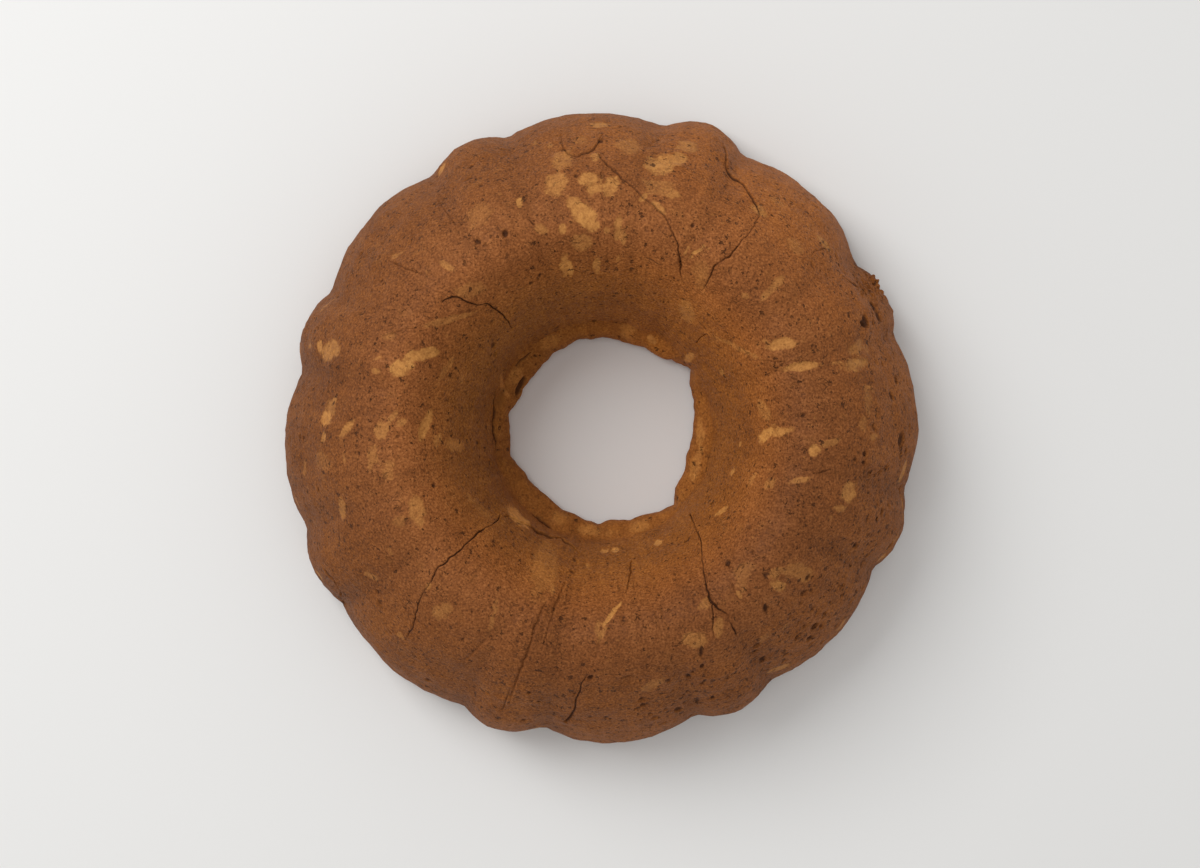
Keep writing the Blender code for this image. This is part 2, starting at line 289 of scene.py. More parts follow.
# Pale spots: place, length and width in pixels of the photo, tilt in degrees from the photo's
# horizontal, and how pale they are
PALE_SPOTS = (
    (562, 160, 19, 18, 0, 0.5), (594, 157, 9, 8, 0, 0.6), (628, 146, 22, 16, 0, 0.35),
    (661, 164, 24, 20, -10, 0.85), (671, 160, 22, 13, -8, 0.8), (679, 158, 17, 11, 10, 0.75),
    (687, 146, 20, 12, -20, 0.55),
    (555, 183, 20, 22, 0, 0.65), (588, 179, 17, 15, -40, 0.85), (594, 189, 12, 14, -60, 0.8),
    (611, 185, 14, 20, -10, 0.8), (602, 184, 8, 20, 0, 0.45), (520, 201, 6, 10, 0, 0.95),
    (574, 204, 15, 13, -45, 0.75), (584, 215, 26, 19, -50, 1.0), (593, 226, 12, 13, -50, 0.9),
    (542, 229, 13, 8, -20, 0.5), (563, 230, 7, 9, 0, 0.8), (582, 243, 18, 14, 0, 0.5),
    (606, 230, 6, 6, 0, 0.5), (618, 230, 7, 22, -5, 0.65), (623, 236, 6, 14, 0, 0.5),
    (566, 267, 10, 17, 10, 0.8), (570, 269, 6, 13, 10, 1.0), (597, 266, 7, 12, 0, 0.8),
    (618, 259, 4, 6, 0, 0.4), (643, 197, 5, 8, -55, 0.8), (659, 208, 17, 5, -50, 0.65),
    (660, 186, 30, 16, -25, 0.35), (674, 195, 12, 8, 0, 0.55), (700, 275, 14, 26, 0, 0.2),
    (581, 140, 14, 8, 0, 0.25), (536, 143, 7, 6, 0, 0.4), (550, 145, 6, 6, 0, 0.35),
    (760, 211, 16, 9, -50, 0.5), (477, 214, 24, 22, 0, 0.2), (447, 266, 16, 6, -35, 0.6),
    (397, 256, 14, 5, 0, 0.4), (472, 290, 26, 14, 0, 0.3), (448, 320, 48, 6, 4, 0.4),
    (329, 351, 19, 17, 0, 0.65), (321, 346, 9, 8, -30, 0.8), (336, 351, 10, 9, 0, 0.6),
    (310, 346, 4, 5, 0, 0.5), (389, 337, 14, 8, 0, 0.25), (377, 358, 8, 3, 20, 0.45),
    (376, 372, 10, 5, -10, 0.5), (399, 368, 15, 15, 20, 1.0), (407, 364, 13, 12, 25, 1.0),
    (413, 356, 12, 8, 40, 1.0), (424, 354, 21, 10, 12, 1.0), (434, 353, 10, 7, 5, 0.95),
    (446, 369, 26, 6, 28, 0.35), (462, 380, 8, 6, 30, 0.4), (329, 411, 12, 18, -10, 0.5),
    (326, 419, 10, 13, -10, 0.85), (335, 399, 6, 4, 40, 0.6), (323, 437, 11, 5, 45, 0.7),
    (346, 430, 19, 7, 33, 0.7), (382, 430, 12, 17, -20, 0.55), (391, 418, 14, 5, 50, 0.45),
    (401, 423, 10, 6, 30, 0.5), (426, 423, 29, 8, 48, 0.75), (437, 441, 12, 8, 30, 0.4),
    (455, 445, 14, 12, 0, 0.4), (372, 457, 9, 24, -15, 0.35), (389, 471, 12, 20, -15, 0.35),
    (344, 458, 12, 5, 65, 0.4), (322, 462, 18, 14, 0, 0.2), (341, 508, 20, 8, 60, 0.45),
    (417, 510, 14, 28, 5, 0.55), (401, 521, 12, 12, 0, 0.25), (390, 552, 5, 14, 0, 0.3),
    (469, 498, 6, 8, 0, 0.4), (482, 510, 20, 10, 0, 0.2), (370, 576, 15, 7, 5, 0.4),
    (441, 611, 20, 14, 40, 0.4), (401, 636, 6, 8, 20, 0.4), (429, 586, 5, 7, -40, 0.4),
    (494, 611, 5, 44, -13, 0.35), (553, 590, 4, 8, 0, 0.4), (545, 563, 24, 46, -10, 0.2),
    (611, 614, 24, 4, 66, 0.95), (603, 632, 18, 6, 68, 0.45), (599, 630, 9, 16, 0, 0.35),
    (588, 566, 3, 8, 0, 0.4), (604, 550, 8, 4, 10, 0.8), (615, 550, 7, 4, 10, 0.8),
    (658, 542, 9, 5, 30, 0.8), (722, 511, 14, 4, 8, 0.6), (797, 571, 22, 14, -15, 0.38),
    (806, 576, 12, 14, 0, 0.4), (779, 587, 15, 9, -25, 0.7), (775, 573, 14, 8, 35, 0.45),
    (744, 571, 18, 12, 20, 0.2), (742, 584, 10, 20, 0, 0.2), (740, 595, 5, 9, 25, 0.5),
    (704, 604, 14, 8, 50, 0.38), (718, 628, 10, 18, 0, 0.5), (695, 640, 21, 14, 0, 0.5),
    (764, 639, 10, 8, 0, 0.25), (785, 627, 9, 6, 0, 0.25), (653, 685, 25, 9, 48, 0.34),
    (840, 509, 11, 7, -10, 0.5), (830, 518, 8, 3, 0, 0.4), (850, 492, 18, 14, 35, 0.8),
    (816, 451, 11, 10, 20, 1.0), (828, 444, 26, 6, 15, 0.45), (800, 480, 20, 5, 12, 0.55),
    (733, 472, 7, 5, 0, 0.6), (741, 444, 5, 3, 20, 0.5), (752, 479, 14, 5, 25, 0.35),
    (770, 484, 9, 10, 0, 0.35), (765, 435, 18, 9, 20, 0.85), (779, 432, 19, 8, 8, 0.68),
    (763, 411, 11, 18, 30, 0.3), (870, 389, 12, 6, 0, 0.4), (868, 402, 8, 22, 0, 0.3),
    (874, 437, 8, 6, 0, 0.45), (863, 424, 8, 14, 0, 0.3), (780, 345, 25, 10, 13, 0.85),
    (765, 343, 10, 5, 0, 0.4), (800, 367, 31, 8, 6, 0.85), (857, 365, 25, 11, 14, 0.8),
    (840, 364, 16, 5, 8, 0.4), (857, 347, 16, 10, 20, 0.45), (738, 347, 40, 5, 3, 0.3),
    (722, 372, 7, 5, 0, 0.5), (686, 312, 16, 16, 0, 0.45), (779, 282, 16, 8, 45, 0.5),
    (767, 293, 22, 6, 48, 0.45), (745, 295, 8, 6, 0, 0.4), (823, 242, 19, 7, -10, 0.6),
    (795, 245, 15, 14, 0, 0.3), (778, 202, 16, 7, 0, 0.25), (518, 517, 28, 9, -20, 1.0),
    (562, 518, 19, 12, 0, 0.2), (589, 530, 24, 9, 0, 0.3), (640, 526, 20, 10, 15, 0.3),
    (610, 534, 10, 6, 0, 0.15), (690, 357, 7, 9, -40, 0.95), (652, 338, 11, 5, -45, 0.7),
    (628, 331, 15, 15, 0, 0.35), (550, 341, 22, 13, 10, 0.3), (502, 384, 6, 19, 0, 0.5),
    (514, 376, 12, 22, -40, 0.25), (701, 436, 7, 34, 0, 0.35), (696, 466, 9, 30, -12, 0.3),
    (305, 470, 4, 16, 0, 0.3), (868, 350, 8, 8, 0, 0.3), (688, 248, 4, 3, 0, 0.7),
    (694, 253, 5, 3, 20, 1.0), (700, 250, 4, 3, 0, 0.8), (691, 258, 4, 3, 40, 0.7),
    (704, 246, 3, 3, 0, 0.6), (685, 254, 3, 3, 0, 0.5), (709, 249, 3, 3, 0, 0.5),
)

# Pits: place, length and width in pixels of the photo, tilt, and how deep they are and how dark
# the shade painted in them is
PITS = (
    (866, 321, 14, 8, 70, 1.0), (864, 324, 9, 7, 0, 1.0), (880, 304, 14, 6, -80, 0.9),
    (882, 316, 12, 6, -80, 1.0), (896, 380, 5, 9, 10, 1.0), (907, 383, 3, 7, 0, 0.6),
    (891, 395, 8, 8, 0, 0.9), (901, 441, 16, 6, 72, 1.0), (906, 450, 8, 3, 70, 0.7),
    (865, 454, 6, 5, 40, 0.9), (855, 459, 4, 4, 0, 0.8), (844, 459, 4, 3, 0, 0.8),
    (865, 462, 4, 4, 0, 1.0), (886, 467, 8, 4, 40, 0.5), (884, 456, 5, 5, 0, 0.4),
    (899, 488, 10, 2.5, 85, 0.7), (802, 416, 6, 4, 30, 0.8), (811, 416, 5, 2, 10, 0.5),
    (803, 394, 5, 2.5, 10, 0.6), (759, 403, 4, 3, 0, 0.8), (700, 402, 2.5, 4, 0, 0.7),
    (773, 476, 6, 2.5, 20, 0.5), (770, 479, 4, 4, 0, 0.7), (872, 383, 9, 3, 15, 0.6),
    (782, 365, 2.5, 2.5, 0, 0.7), (887, 336, 4, 3, 0, 0.6), (840, 264, 3.5, 3, 0, 0.8),
    (807, 271, 3, 3, 0, 0.5), (849, 334, 3, 3, 0, 0.6), (878, 284, 5, 6, 0, 0.9),
    (871, 278, 5, 3, -40, 0.8), (504.5, 233.5, 6, 8, 0, 1.0), (508, 243, 4, 9, 10, 0.5),
    (477, 241, 8, 5, -30, 0.8), (485, 246, 6, 4, -35, 0.5), (540, 276, 4, 3, 0, 0.9),
    (531, 283, 6, 2.5, 15, 0.8), (574, 139, 3.5, 3, 0, 0.9), (629, 213, 3, 6, -20, 0.7),
    (647, 230, 4, 8, 20, 0.5), (639, 211, 3, 3, 0, 0.7), (638, 235, 7, 2.5, 0, 0.5),
    (694, 238, 3, 3, 0, 0.7), (569, 171, 3, 5, 0, 0.5), (578, 186, 3, 3, 0, 0.6),
    (602, 176, 6, 7, 0, 0.5), (520, 386, 7, 24, -24, 1.0), (493, 346, 7, 5, 20, 0.7),
    (495, 354, 5, 3, 0, 0.5), (727, 563, 6, 6, 0, 1.0), (766, 577, 9, 3, -50, 0.9),
    (768, 575, 7, 3, 10, 0.8), (773, 530, 5, 3, 0, 0.6), (735, 529, 3, 3, 0, 0.7),
    (787, 549, 3, 3, 0, 0.6), (762, 550, 3.5, 3, 0, 0.7), (750, 551, 3, 3, 0, 0.7),
    (802, 521, 3, 6, 0, 0.5), (694, 594, 3, 3, 0, 0.9), (766, 608, 9, 5, -65, 1.0),
    (775, 617, 6, 2, -40, 0.5), (814, 627, 10, 4, 62, 1.0), (810, 638, 8, 5, 52, 0.9),
    (786, 655, 8, 4.5, 45, 0.9),
    (772, 662, 3.5, 3, 0, 0.6), (762, 661, 7, 6, 0, 1.0), (702, 652, 4.5, 13, -3, 0.8),
    (703, 667, 5, 6, 0, 0.9), (705, 682, 4, 7, -20, 0.9), (701, 685, 5, 2.5, 10, 0.7),
    (727, 677, 6, 5, 0, 0.4), (697, 701, 7, 7, 0, 0.8), (713, 697, 4, 4, 0, 0.9),
    (678, 710, 8, 5, 40, 1.0), (693, 714, 9, 3, 15, 0.8), (656, 717, 7, 4, 40, 0.6),
    (590, 717, 5, 3.5, 0, 0.7), (672, 658, 2.5, 7, -10, 0.7), (694, 658, 2.5, 7, -10, 0.6),
    (686, 682, 3, 8, 0, 0.5), (674, 691, 4, 4, 0, 0.5), (725, 707, 7, 2, 20, 0.4),
    (693, 673, 4, 3, 0, 0.7), (720, 686, 5, 2.5, -30, 0.5), (643, 700, 8, 6, 0, 0.35),
    (761, 686, 4, 5, 40, 0.7), (843, 586, 4, 10, -30, 0.5), (817, 613, 2.5, 7, -30, 0.5),
    (626, 677, 16, 3, 12, 0.5), (628, 680, 30, 9, 8, 0.3), (382, 280, 4, 4, 0, 0.7),
    (434, 486, 4, 4, 0, 0.9), (538, 278, 3, 3, 0, 0.7), (387, 632, 5, 3, -45, 0.5),
    (471, 551, 3, 2.5, 0, 0.9), (468, 563, 4, 3, 0, 0.6), (476, 576, 5, 2.5, 10, 0.5),
    (463, 640, 3.5, 3.5, 0, 0.9), (575, 560, 4, 3, 20, 0.7), (523, 609, 3, 4, 0, 0.8),
    (516, 642, 3, 3, 0, 0.7), (492, 648, 3.5, 3, 0, 0.6), (428, 632, 3, 3, 0, 0.8),
    (441, 577, 3.5, 3, 0, 0.7), (448, 420, 3, 3, 0, 0.7), (478, 443, 3, 4, 0, 0.8),
    (490, 463, 3, 5, 0, 0.8), (358, 453, 3.5, 4, 0, 0.9), (389, 453, 3, 7, 10, 0.7),
    (399, 437, 4, 4, 0, 0.6), (448, 400, 6, 4, 0, 0.5), (424, 318, 4, 2, 0, 0.5),
    (492, 322, 5, 2.5, 20, 0.7), (369, 445, 3, 3, 0, 0.4), (533, 509, 2.5, 2.5, 0, 0.9),
    (812, 578, 3, 3, 0, 0.7), (820, 581, 4, 2, 10, 0.6), (832, 587, 2.5, 2.5, 0, 0.7),
    (839, 586, 3, 3, 0, 0.7), (811, 591, 4, 5, 0, 0.7), (803, 594, 6, 6, 0, 0.6),
    (817, 609, 3, 3, 0, 0.6), (823, 617, 3, 4, -20, 0.7), (810, 617, 2.5, 2.5, 0, 0.6),
    (820, 627, 6, 2.5, 50, 0.7), (822, 642, 7, 3, 30, 0.7), (782, 651, 3, 3, 0, 0.7),
    (856, 591, 6, 3, 60, 0.6), (850, 603, 5, 2, 20, 0.5), (862, 564, 8, 3, 60, 0.6),
    (851, 566, 5, 3, 60, 0.6), (539, 702, 4, 2.5, 30, 0.8), (528, 693, 4.5, 4, 0, 0.9),
    (557, 668, 4, 2.5, -30, 0.8), (557, 696, 4, 3, 60, 0.6), (624, 618, 3, 3, 0, 0.9),
    (573, 648, 6, 2.5, 80, 0.8), (560, 645, 3, 3, 0, 0.7), (610, 719, 4, 2.5, 20, 0.7),
    (553, 716, 3, 3, 0, 0.6), (502, 685, 3, 2.5, 0, 0.5), (509, 599, 2.5, 2.5, 0, 0.7),
    (487, 693, 3, 2.5, 0, 0.6), (619, 589, 3, 4, 0, 0.7), (590, 598, 2.5, 2.5, 0, 0.6),
    (556, 626, 3, 3, 0, 0.6), (643, 705, 6, 5, 40, 0.9), (650, 714, 5, 3, 30, 0.8),
    (666, 709, 4, 4, 0, 0.8), (687, 692, 4, 3, 20, 0.8), (728, 697, 4, 3, 30, 0.7),
    (668, 681, 4, 4, 0, 0.8), (689, 676, 4, 3, 0, 0.8), (706, 671, 4, 3, -30, 0.7),
    (685, 702, 4, 4, 0, 0.8), (636, 709, 4, 3, 0, 0.7), (784, 661, 6, 3, 45, 0.8),
    (796, 639, 4, 3, 40, 0.7), (825, 613, 6, 3, 55, 0.8), (830, 603, 4, 3, 50, 0.7),
    (842, 596, 5, 3, 55, 0.7), (882, 511, 9, 3, 62, 0.9), (877, 518, 5, 3, 50, 0.8),
    (888, 506, 4, 3, 60, 0.7), (801, 603, 4, 3, 0, 0.6), (781, 589, 3, 3, 0, 0.6),
    (791, 616, 4, 3, 0, 0.6), (799, 623, 4, 3, 30, 0.6), (773, 626, 3, 3, 0, 0.5),
    (746, 679, 5, 3, 20, 0.6), (773, 669, 5, 3, 40, 0.7), (756, 652, 4, 3, 0, 0.6),
)

# Pits too small and too many to place one by one, with their radius in millimetres
SMALL_PITS = 340
SMALL_PIT_RADII = (0.45, 1.25)
SMALL_PIT_SEED = 21

# Lumps of batter round the lip: place, length and width in pixels of the photo, tilt and height
LIP_LUMPS = (
    (550, 342, 26, 16, 10, 0.9), (578, 332, 24, 12, 8, 0.5), (604, 331, 18, 10, 0, 0.5),
    (628, 333, 18, 18, 0, 1.0), (655, 346, 26, 20, -40, 1.0), (688, 358, 14, 10, -45, 0.8),
    (516, 376, 26, 16, 50, 0.9), (502, 404, 12, 26, 0, 0.8), (498, 430, 12, 24, 0, 0.5),
    (506, 468, 16, 18, 0, 0.8), (523, 488, 24, 16, -40, 1.0), (560, 519, 24, 16, -25, 1.0),
    (588, 529, 26, 14, 0, 0.9), (614, 528, 18, 10, 0, 0.6), (640, 526, 24, 12, 15, 0.8),
    (664, 514, 20, 12, 20, 0.6), (681, 497, 12, 18, 0, 0.6), (694, 466, 13, 36, -14, 0.9),
    (701, 436, 11, 40, 0, 0.8), (700, 402, 12, 26, 0, 0.4), (697, 380, 12, 22, 0, 0.5),
)

# Pale spots that the photo doesn't show: low on the flank and on the foot
UNSEEN_SPOTS = 34
UNSEEN_SPOT_SEED = 33
UNSEEN_SPOT_LENGTHS = (5, 12)  # in millimetres, and so are the widths
UNSEEN_SPOT_WIDTHS = (2.6, 6)
UNSEEN_SPOT_PALENESS = (0.3, 0.8)

# Relief in millimetres
SPOT_SINK = 0.22
FIRM_PALENESS = 0.6  # of the spots that are sunk
CRACK_DEPTH = 0.45  # and what the next line adds for each millimetre of half width
CRACK_DEPTH_FOR_WIDTH = 1.4
DEEPEST_CRACK = 1.4
CRACK_RIM = 0.08
STEP_REACH = 4.0
MOST_FORESHORTENED = 0.3  # a spot on a steep wall is no longer than its seen size over this
PIT_DEPTH = 1.3  # for each millimetre of half width
WIDEST_DEEPENED_PIT = 1.4  # a pit of more half width is no deeper
VALLEY_DEPTH = 0.45  # of the valleys between flutes, beside the crest

# Roughness, each as length and size in millimetres and a seed: ripples all over, the crust's
# edge at the lip, and the torn rim
RIPPLES = ((9.0, 0.17, 41), (5.0, 0.10, 42), (2.8, 0.05, 43))
LIP_ROUGHNESS = (3.4, 0.16, 44)
TORN_ROUGHNESS = (2.4, 0.5, 53)

# The lip's upper edge in millimetres: it is highest at the lower left and wanders a little. The
# groove under it is deepest on the left. Directions are degrees and half width in degrees.
LIP_EDGE_HEIGHT = 11.5
LIP_EDGE_RISE = 19
LIP_EDGE_RISE_AT = (236, 30)
LIP_EDGE_WANDER = 2.2
LIP_EDGE_WANDER_LENGTH = 22
LIP_GROOVE_DEPTH = 0.7
LIP_GROOVE_HALF_WIDTH = 1.7
LIP_GROOVE_AT = (165, 38)
LIP_GROOVE_UNEVENNESS = 0.5
LIP_GROOVE_UNEVENNESS_LENGTH = 12

# How much darker the crust is coloured than elsewhere, from its uneven bake and from painted light
# and shade, where sides are made lighter or darker as light falls on them. Zone, amount, and the
# direction and half width of the place in degrees
BAKED_MEAN = 0.5
BAKE_AND_PAINTED_LIGHT_PLACES = (
    ("off_foot", -0.35, 52, 36), ("flank", -0.2, 38, 42), ("flank", -0.1, 270, 40),
    ("flank", 0.3, 168, 46), ("shoulder", -0.14, 15, 65),
)
# Painted shade in the valleys between the flutes
PAINTED_SHADE_IN_VALLEYS = 0.22
# The crust is coloured this much darker where the rim is torn
DARKER_WHERE_TORN = 0.2
# Painted shade across the crest, darker towards the direction below and lighter away from it, and
# a little painted light all round
PAINTED_SHADE_ACROSS_CREST = 0.28  # more towards the next direction, and less away from it
PAINTED_SHADE_CREST_ANGLE = math.radians(345)
PAINTED_LIGHT_ON_CREST = -0.06

# What the colour is multiplied by where an attribute of the mesh is 1. Inside the hole these
# are painted light: yellow bounce light on its walls and lighter shade on its upper left side,
# and on the lip's lumps a painted highlight
TINTS_AND_PAINTED_LIGHT = (
    ("flank", (1.02, 0.97, 0.71)),
    # Painted yellow bounce light, brighter, on the hole's inner wall
    ("inside", (1.37, 1.37, 1.26)),
    # Painted yellow bounce light low in the hole
    ("throat", (0.98, 1.00, 0.67)),
    ("lip", (1.00, 1.01, 1.20)),
    # Painted light in the shade on the hole's upper left side: lighter and less red
    ("shaded_side_painted_light", (1.06, 1.20, 1.30)),
    # Painted highlight on the lip's lumps
    ("lump_highlight", (1.14, 1.17, 1.12)),
    ("under", (1.15, 1.12, 1.05)),
)


def fade(value, low, high):
    """0 up to low and 1 from high on, with a smooth rise between."""
    share = np.clip((value - low) / (high - low), 0, 1)
    return share * share * (3 - 2 * share)


def waves(points, length, seed, count=14):
    """Smooth unevenness of about that wavelength, near 1 at its largest, the same at each run."""
    draw = np.random.default_rng(seed)
    ways = draw.normal(size=(count, 3))
    ways /= np.linalg.norm(ways, axis=1)[:, None]
    starts = draw.uniform(0, TURN, count)
    turns = points @ ways.T * (TURN / length) + starts
    return np.sin(turns).sum(1) * math.sqrt(2 / count) / 1.6


def wall(turn, edge_radius, taper, side):
    """(radius, height) of the outer wall, side 1, or of the throat's, side -1."""
    rounding = abs(edge_radius - CREST_RADIUS) - taper
    radius = CREST_RADIUS + side * (rounding * np.cos(turn) + taper * (1 - np.sin(turn)))
    return radius, FOOT_LIFT + (HEIGHT - FOOT_LIFT) * np.sin(turn)


def foot_edge(turn, wall_radius, width):
    """(radius, height) from the flat of the foot up to a wall."""
    return wall_radius - width + width * np.sin(turn), FOOT_LIFT * (1 - np.cos(turn))


class Section:
    """The ring's closed section, by the length along it from the outer edge of the foot."""

    def __init__(self, steps=600):
        rise = np.linspace(0, math.pi / 2, steps)
        fall = rise[::-1]
        inner_edge = foot_edge(fall, THROAT_RADIUS, -INNER_FOOT_WIDTH)
        outer_edge = foot_edge(rise, CREASE_RADIUS, OUTER_FOOT_WIDTH)
        pieces = (
            wall(rise, CREASE_RADIUS, OUTER_TAPER, 1),
            wall(fall, THROAT_RADIUS, INNER_TAPER, -1),
            inner_edge,
            outer_edge,
        )
        radius = np.concatenate([piece[0] for piece in pieces])
        height = np.concatenate([piece[1] for piece in pieces])
        step = np.hypot(np.diff(radius), np.diff(height))
        kept = np.append(True, step > 1e-7)
        self.radius, self.height = radius[kept], height[kept]
        steps_along = np.hypot(np.diff(self.radius), np.diff(self.height))
        self.along = np.append(0, np.cumsum(steps_along))
        self.length = self.along[-1]
        ends = np.cumsum([self._length(*piece) for piece in pieces[:3]])
        self.crest, self.throat_foot, self.flat_start = ends
        self.flat_end = self.length - self._length(*outer_edge)

    @staticmethod
    def _length(radius, height):
        return np.hypot(np.diff(radius), np.diff(height)).sum()

    def at(self, along):
        radius = np.interp(along, self.along, self.radius)
        return radius, np.interp(along, self.along, self.height)

    def outward(self, along):
        """The section's outward direction, as (radial, upward)."""
        reach = 0.4 * MM
        before = self.at((along - reach) % self.length)
        after = self.at((along + reach) % self.length)
        radial, upward = after[1] - before[1], before[0] - after[0]
        size = np.hypot(radial, upward)
        return radial / size, upward / size


SECTION = Section()


def flutes(angle):
    """How far the flutes stand out at full depth: nothing in the creases."""
    pair = TURN / FLUTE_PAIRS
    share = ((angle - FIRST_CREASE) % pair) / pair
    wide = 1 - np.abs(share / WIDE_FLUTE_SHARE * 2 - 1) ** WIDE_FLUTE_ROUNDING
    narrow_share = (share - WIDE_FLUTE_SHARE) / (1 - WIDE_FLUTE_SHARE)
    narrow = 1 - np.abs(narrow_share * 2 - 1) ** NARROW_FLUTE_ROUNDING
    is_wide = share < WIDE_FLUTE_SHARE
    return np.where(is_wide, WIDE_FLUTE_DEPTH * wide, NARROW_FLUTE_DEPTH * narrow)


def flute_share(radius, height):
    """How much of their full depth the flutes have: most halfway up, and little on the crest."""
    rise = np.clip(height / HEIGHT, 0, 1)
    halfway = np.sin(math.pi * np.clip(rise / 0.6, 0, 1))
    outside = FLUTES_AT_FOOT + FLUTES_HALFWAY * halfway - FLUTES_AT_CREST * fade(rise, 0.5, 1.0)
    inside = FLUTES_IN_THROAT + FLUTES_HIGH_IN_THROAT * fade(rise, 0.1, 1.0)
    side = fade(radius, CREST_RADIUS - FLUTE_BLEND, CREST_RADIUS + FLUTE_BLEND)
    under = fade(radius, CREASE_RADIUS - OUTER_FOOT_WIDTH, CREASE_RADIUS - 1 * MM)
    on_foot = fade(height, 0, FOOT_LIFT)
    return (inside * (1 - side) + outside * side) * np.maximum(on_foot, under * side)


def lip_radius(angle):
    """Radius of the hole at the lip, straight from each corner to the next."""
    degrees = np.array([corner[0] for corner in LIP_CORNERS])
    radii = np.array([corner[1] for corner in LIP_CORNERS])
    corners = np.radians(np.append(degrees, degrees[0] + 360))
    radii = np.append(radii, radii[0])
    turned = corners[0] + (angle - corners[0]) % TURN
    side = np.clip(np.searchsorted(corners, turned, "right") - 1, 0, len(corners) - 2)
    start, end = corners[side], corners[side + 1]
    from_start = np.sin(turned - start) / radii[side + 1]
    from_end = np.sin(end - turned) / radii[side]
    return np.sin(end - start) / (from_start + from_end)


def crags(angle):
    """How far the crust's rim stands out at the foot."""
    reach = np.zeros_like(angle)
    for place, size, half_width in CRAGS:
        away = (np.degrees(angle) - place + 180) % 360 - 180
        reach += size * np.exp(-((away / half_width) ** 2))
    return reach


def ring_points(angle, along):
    """The solid's form at angles round the ring and lengths along its section."""
    radius, height = SECTION.at(along)
    radial, upward = SECTION.outward(along)
    across = np.stack([np.cos(angle), np.sin(angle), np.zeros_like(angle)], 1)
    normal = across * radial[:, None]
    normal[:, 2] = upward
    points = across * radius[:, None]
    points[:, 2] = height

    off_foot = fade(height, 0, FOOT_LIFT)
    outward = flutes(angle) * flute_share(radius, height)
    outward += BULGE_SIZE * off_foot * waves(points, BULGE_LENGTH, seed=5)
    outward += LUMP_SIZE * off_foot * waves(points, LUMP_LENGTH, seed=8)
    moved = points + normal * outward[:, None]

    outer = fade(radius, CREST_RADIUS, CREASE_RADIUS)
    inner = 1 - fade(radius, THROAT_RADIUS, CREST_RADIUS)
    at_lip = 1 - fade(height, FOOT_LIFT, LIP_HEIGHT + FOOT_LIFT)
    at_rim = 1 - fade(height, FOOT_LIFT, CRAG_HEIGHT + FOOT_LIFT)
    sideways = OFF_CENTRE * np.cos(angle - OFF_CENTRE_ANGLE)
    sideways += OVAL * np.cos(2 * (angle - OVAL_ANGLE))
    sideways += THREE_SIDED * np.cos(3 * (angle - THREE_SIDED_ANGLE))
    sideways = (sideways + crags(angle) * at_rim) * outer
    sideways += (lip_radius(angle) - THROAT_RADIUS) * at_lip * inner
    moved += across * sideways[:, None]
    rise = np.clip(height / HEIGHT, 0, 1)
    moved[:, 2] += CREST_TILT * rise**2 * np.cos(angle - CREST_TILT_ANGLE)
    moved[:, 2] = np.where(height <= 1e-6, 0.0, np.maximum(moved[:, 2], 0.1 * MM * off_foot))
    return moved


def settled_on_solid():
    """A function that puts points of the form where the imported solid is."""
    angle, along = np.meshgrid(
        np.linspace(0, TURN, 721), np.linspace(0, SECTION.length, 301), indexing="ij"
    )
    points = ring_points(angle.ravel(), along.ravel())
    low, high = (np.array(corner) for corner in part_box("cake"))
    middle = (points.min(0) + points.max(0)) / 2
    offset = (low + high) / 2 - middle
    rise = (high[2] - low[2]) / (points[:, 2].max() - points[:, 2].min())

    def place(moved):
        placed = moved + np.array([offset[0], offset[1], 0])
        placed[:, 2] *= rise
        return placed

    return place


PLACE = settled_on_solid()


def crust_points(angle, along):
    return PLACE(ring_points(angle, along))


class Crust:
    """Looks up places on the crust from where the photo shows them."""

    def __init__(self, turn_steps=900, rows=300):
        angles = np.linspace(0, TURN, turn_steps, endpoint=False)
        rows_along = np.linspace(0, SECTION.throat_foot, rows)
        angle, along = (grid.ravel() for grid in np.meshgrid(angles, rows_along, indexing="ij"))
        self.points = crust_points(angle, along)
        nudge = 0.5 * MM
        down = crust_points(angle, along + nudge) - crust_points(angle, along - nudge)
        turn = nudge / 0.08  # about as far, halfway out on the ring
        around = crust_points(angle + turn, along) - crust_points(angle - turn, along)
        self.normals = np.cross(around, down)
        self.normals /= np.linalg.norm(self.normals, axis=1)[:, None]
        self.normals *= -np.sign((self.normals * self._inward()).sum(1))[:, None]
        self.tree = tree_of([(x, y, 0) for x, y in seen_from_above(self.points)])

    def _inward(self):
        """From each point towards the middle of the ring's section."""
        away = np.hypot(self.points[:, 0], self.points[:, 1])[:, None]
        core = self.points / away * CREST_RADIUS
        core[:, 2] = HEIGHT * 0.3
        return core - self.points

    def at_pixel(self, x, y):
        """(point, normal) of the crust that shows at a pixel of the photo."""
        plan = ((x - MIDDLE_PIXEL[0]) * PIXEL, (MIDDLE_PIXEL[1] - y) * PIXEL, 0)
        index = self.tree.find(plan)[1]
        return self.points[index], self.normals[index]


def camera_place():
    x = (PHOTO_WIDTH / 2 - MIDDLE_PIXEL[0]) * PIXEL
    y = (MIDDLE_PIXEL[1] - PHOTO_HEIGHT / 2) * PIXEL
    return np.array([x, y, CAMERA_HEIGHT])


def seen_from_above(points):
    """Where the camera sees points, as places on the floor."""
    camera = camera_place()
    scale = CAMERA_HEIGHT / (CAMERA_HEIGHT - points[:, 2])
    return camera[:2] + (points[:, :2] - camera[:2]) * scale[:, None]


def tangent_axes(normal, tilt):
    """Two directions on the crust: tilted from +X as seen from above, and square to that."""
    wanted = np.array([math.cos(math.radians(tilt)), math.sin(math.radians(tilt)), 0])
    lengthwise = wanted - normal * (wanted @ normal)
    size = np.linalg.norm(lengthwise)
    if size < 0.2:
        lengthwise = np.cross(normal, (0.0, 0.0, 1.0))
        size = np.linalg.norm(lengthwise)
    lengthwise = lengthwise / size
    return lengthwise, np.cross(normal, lengthwise)


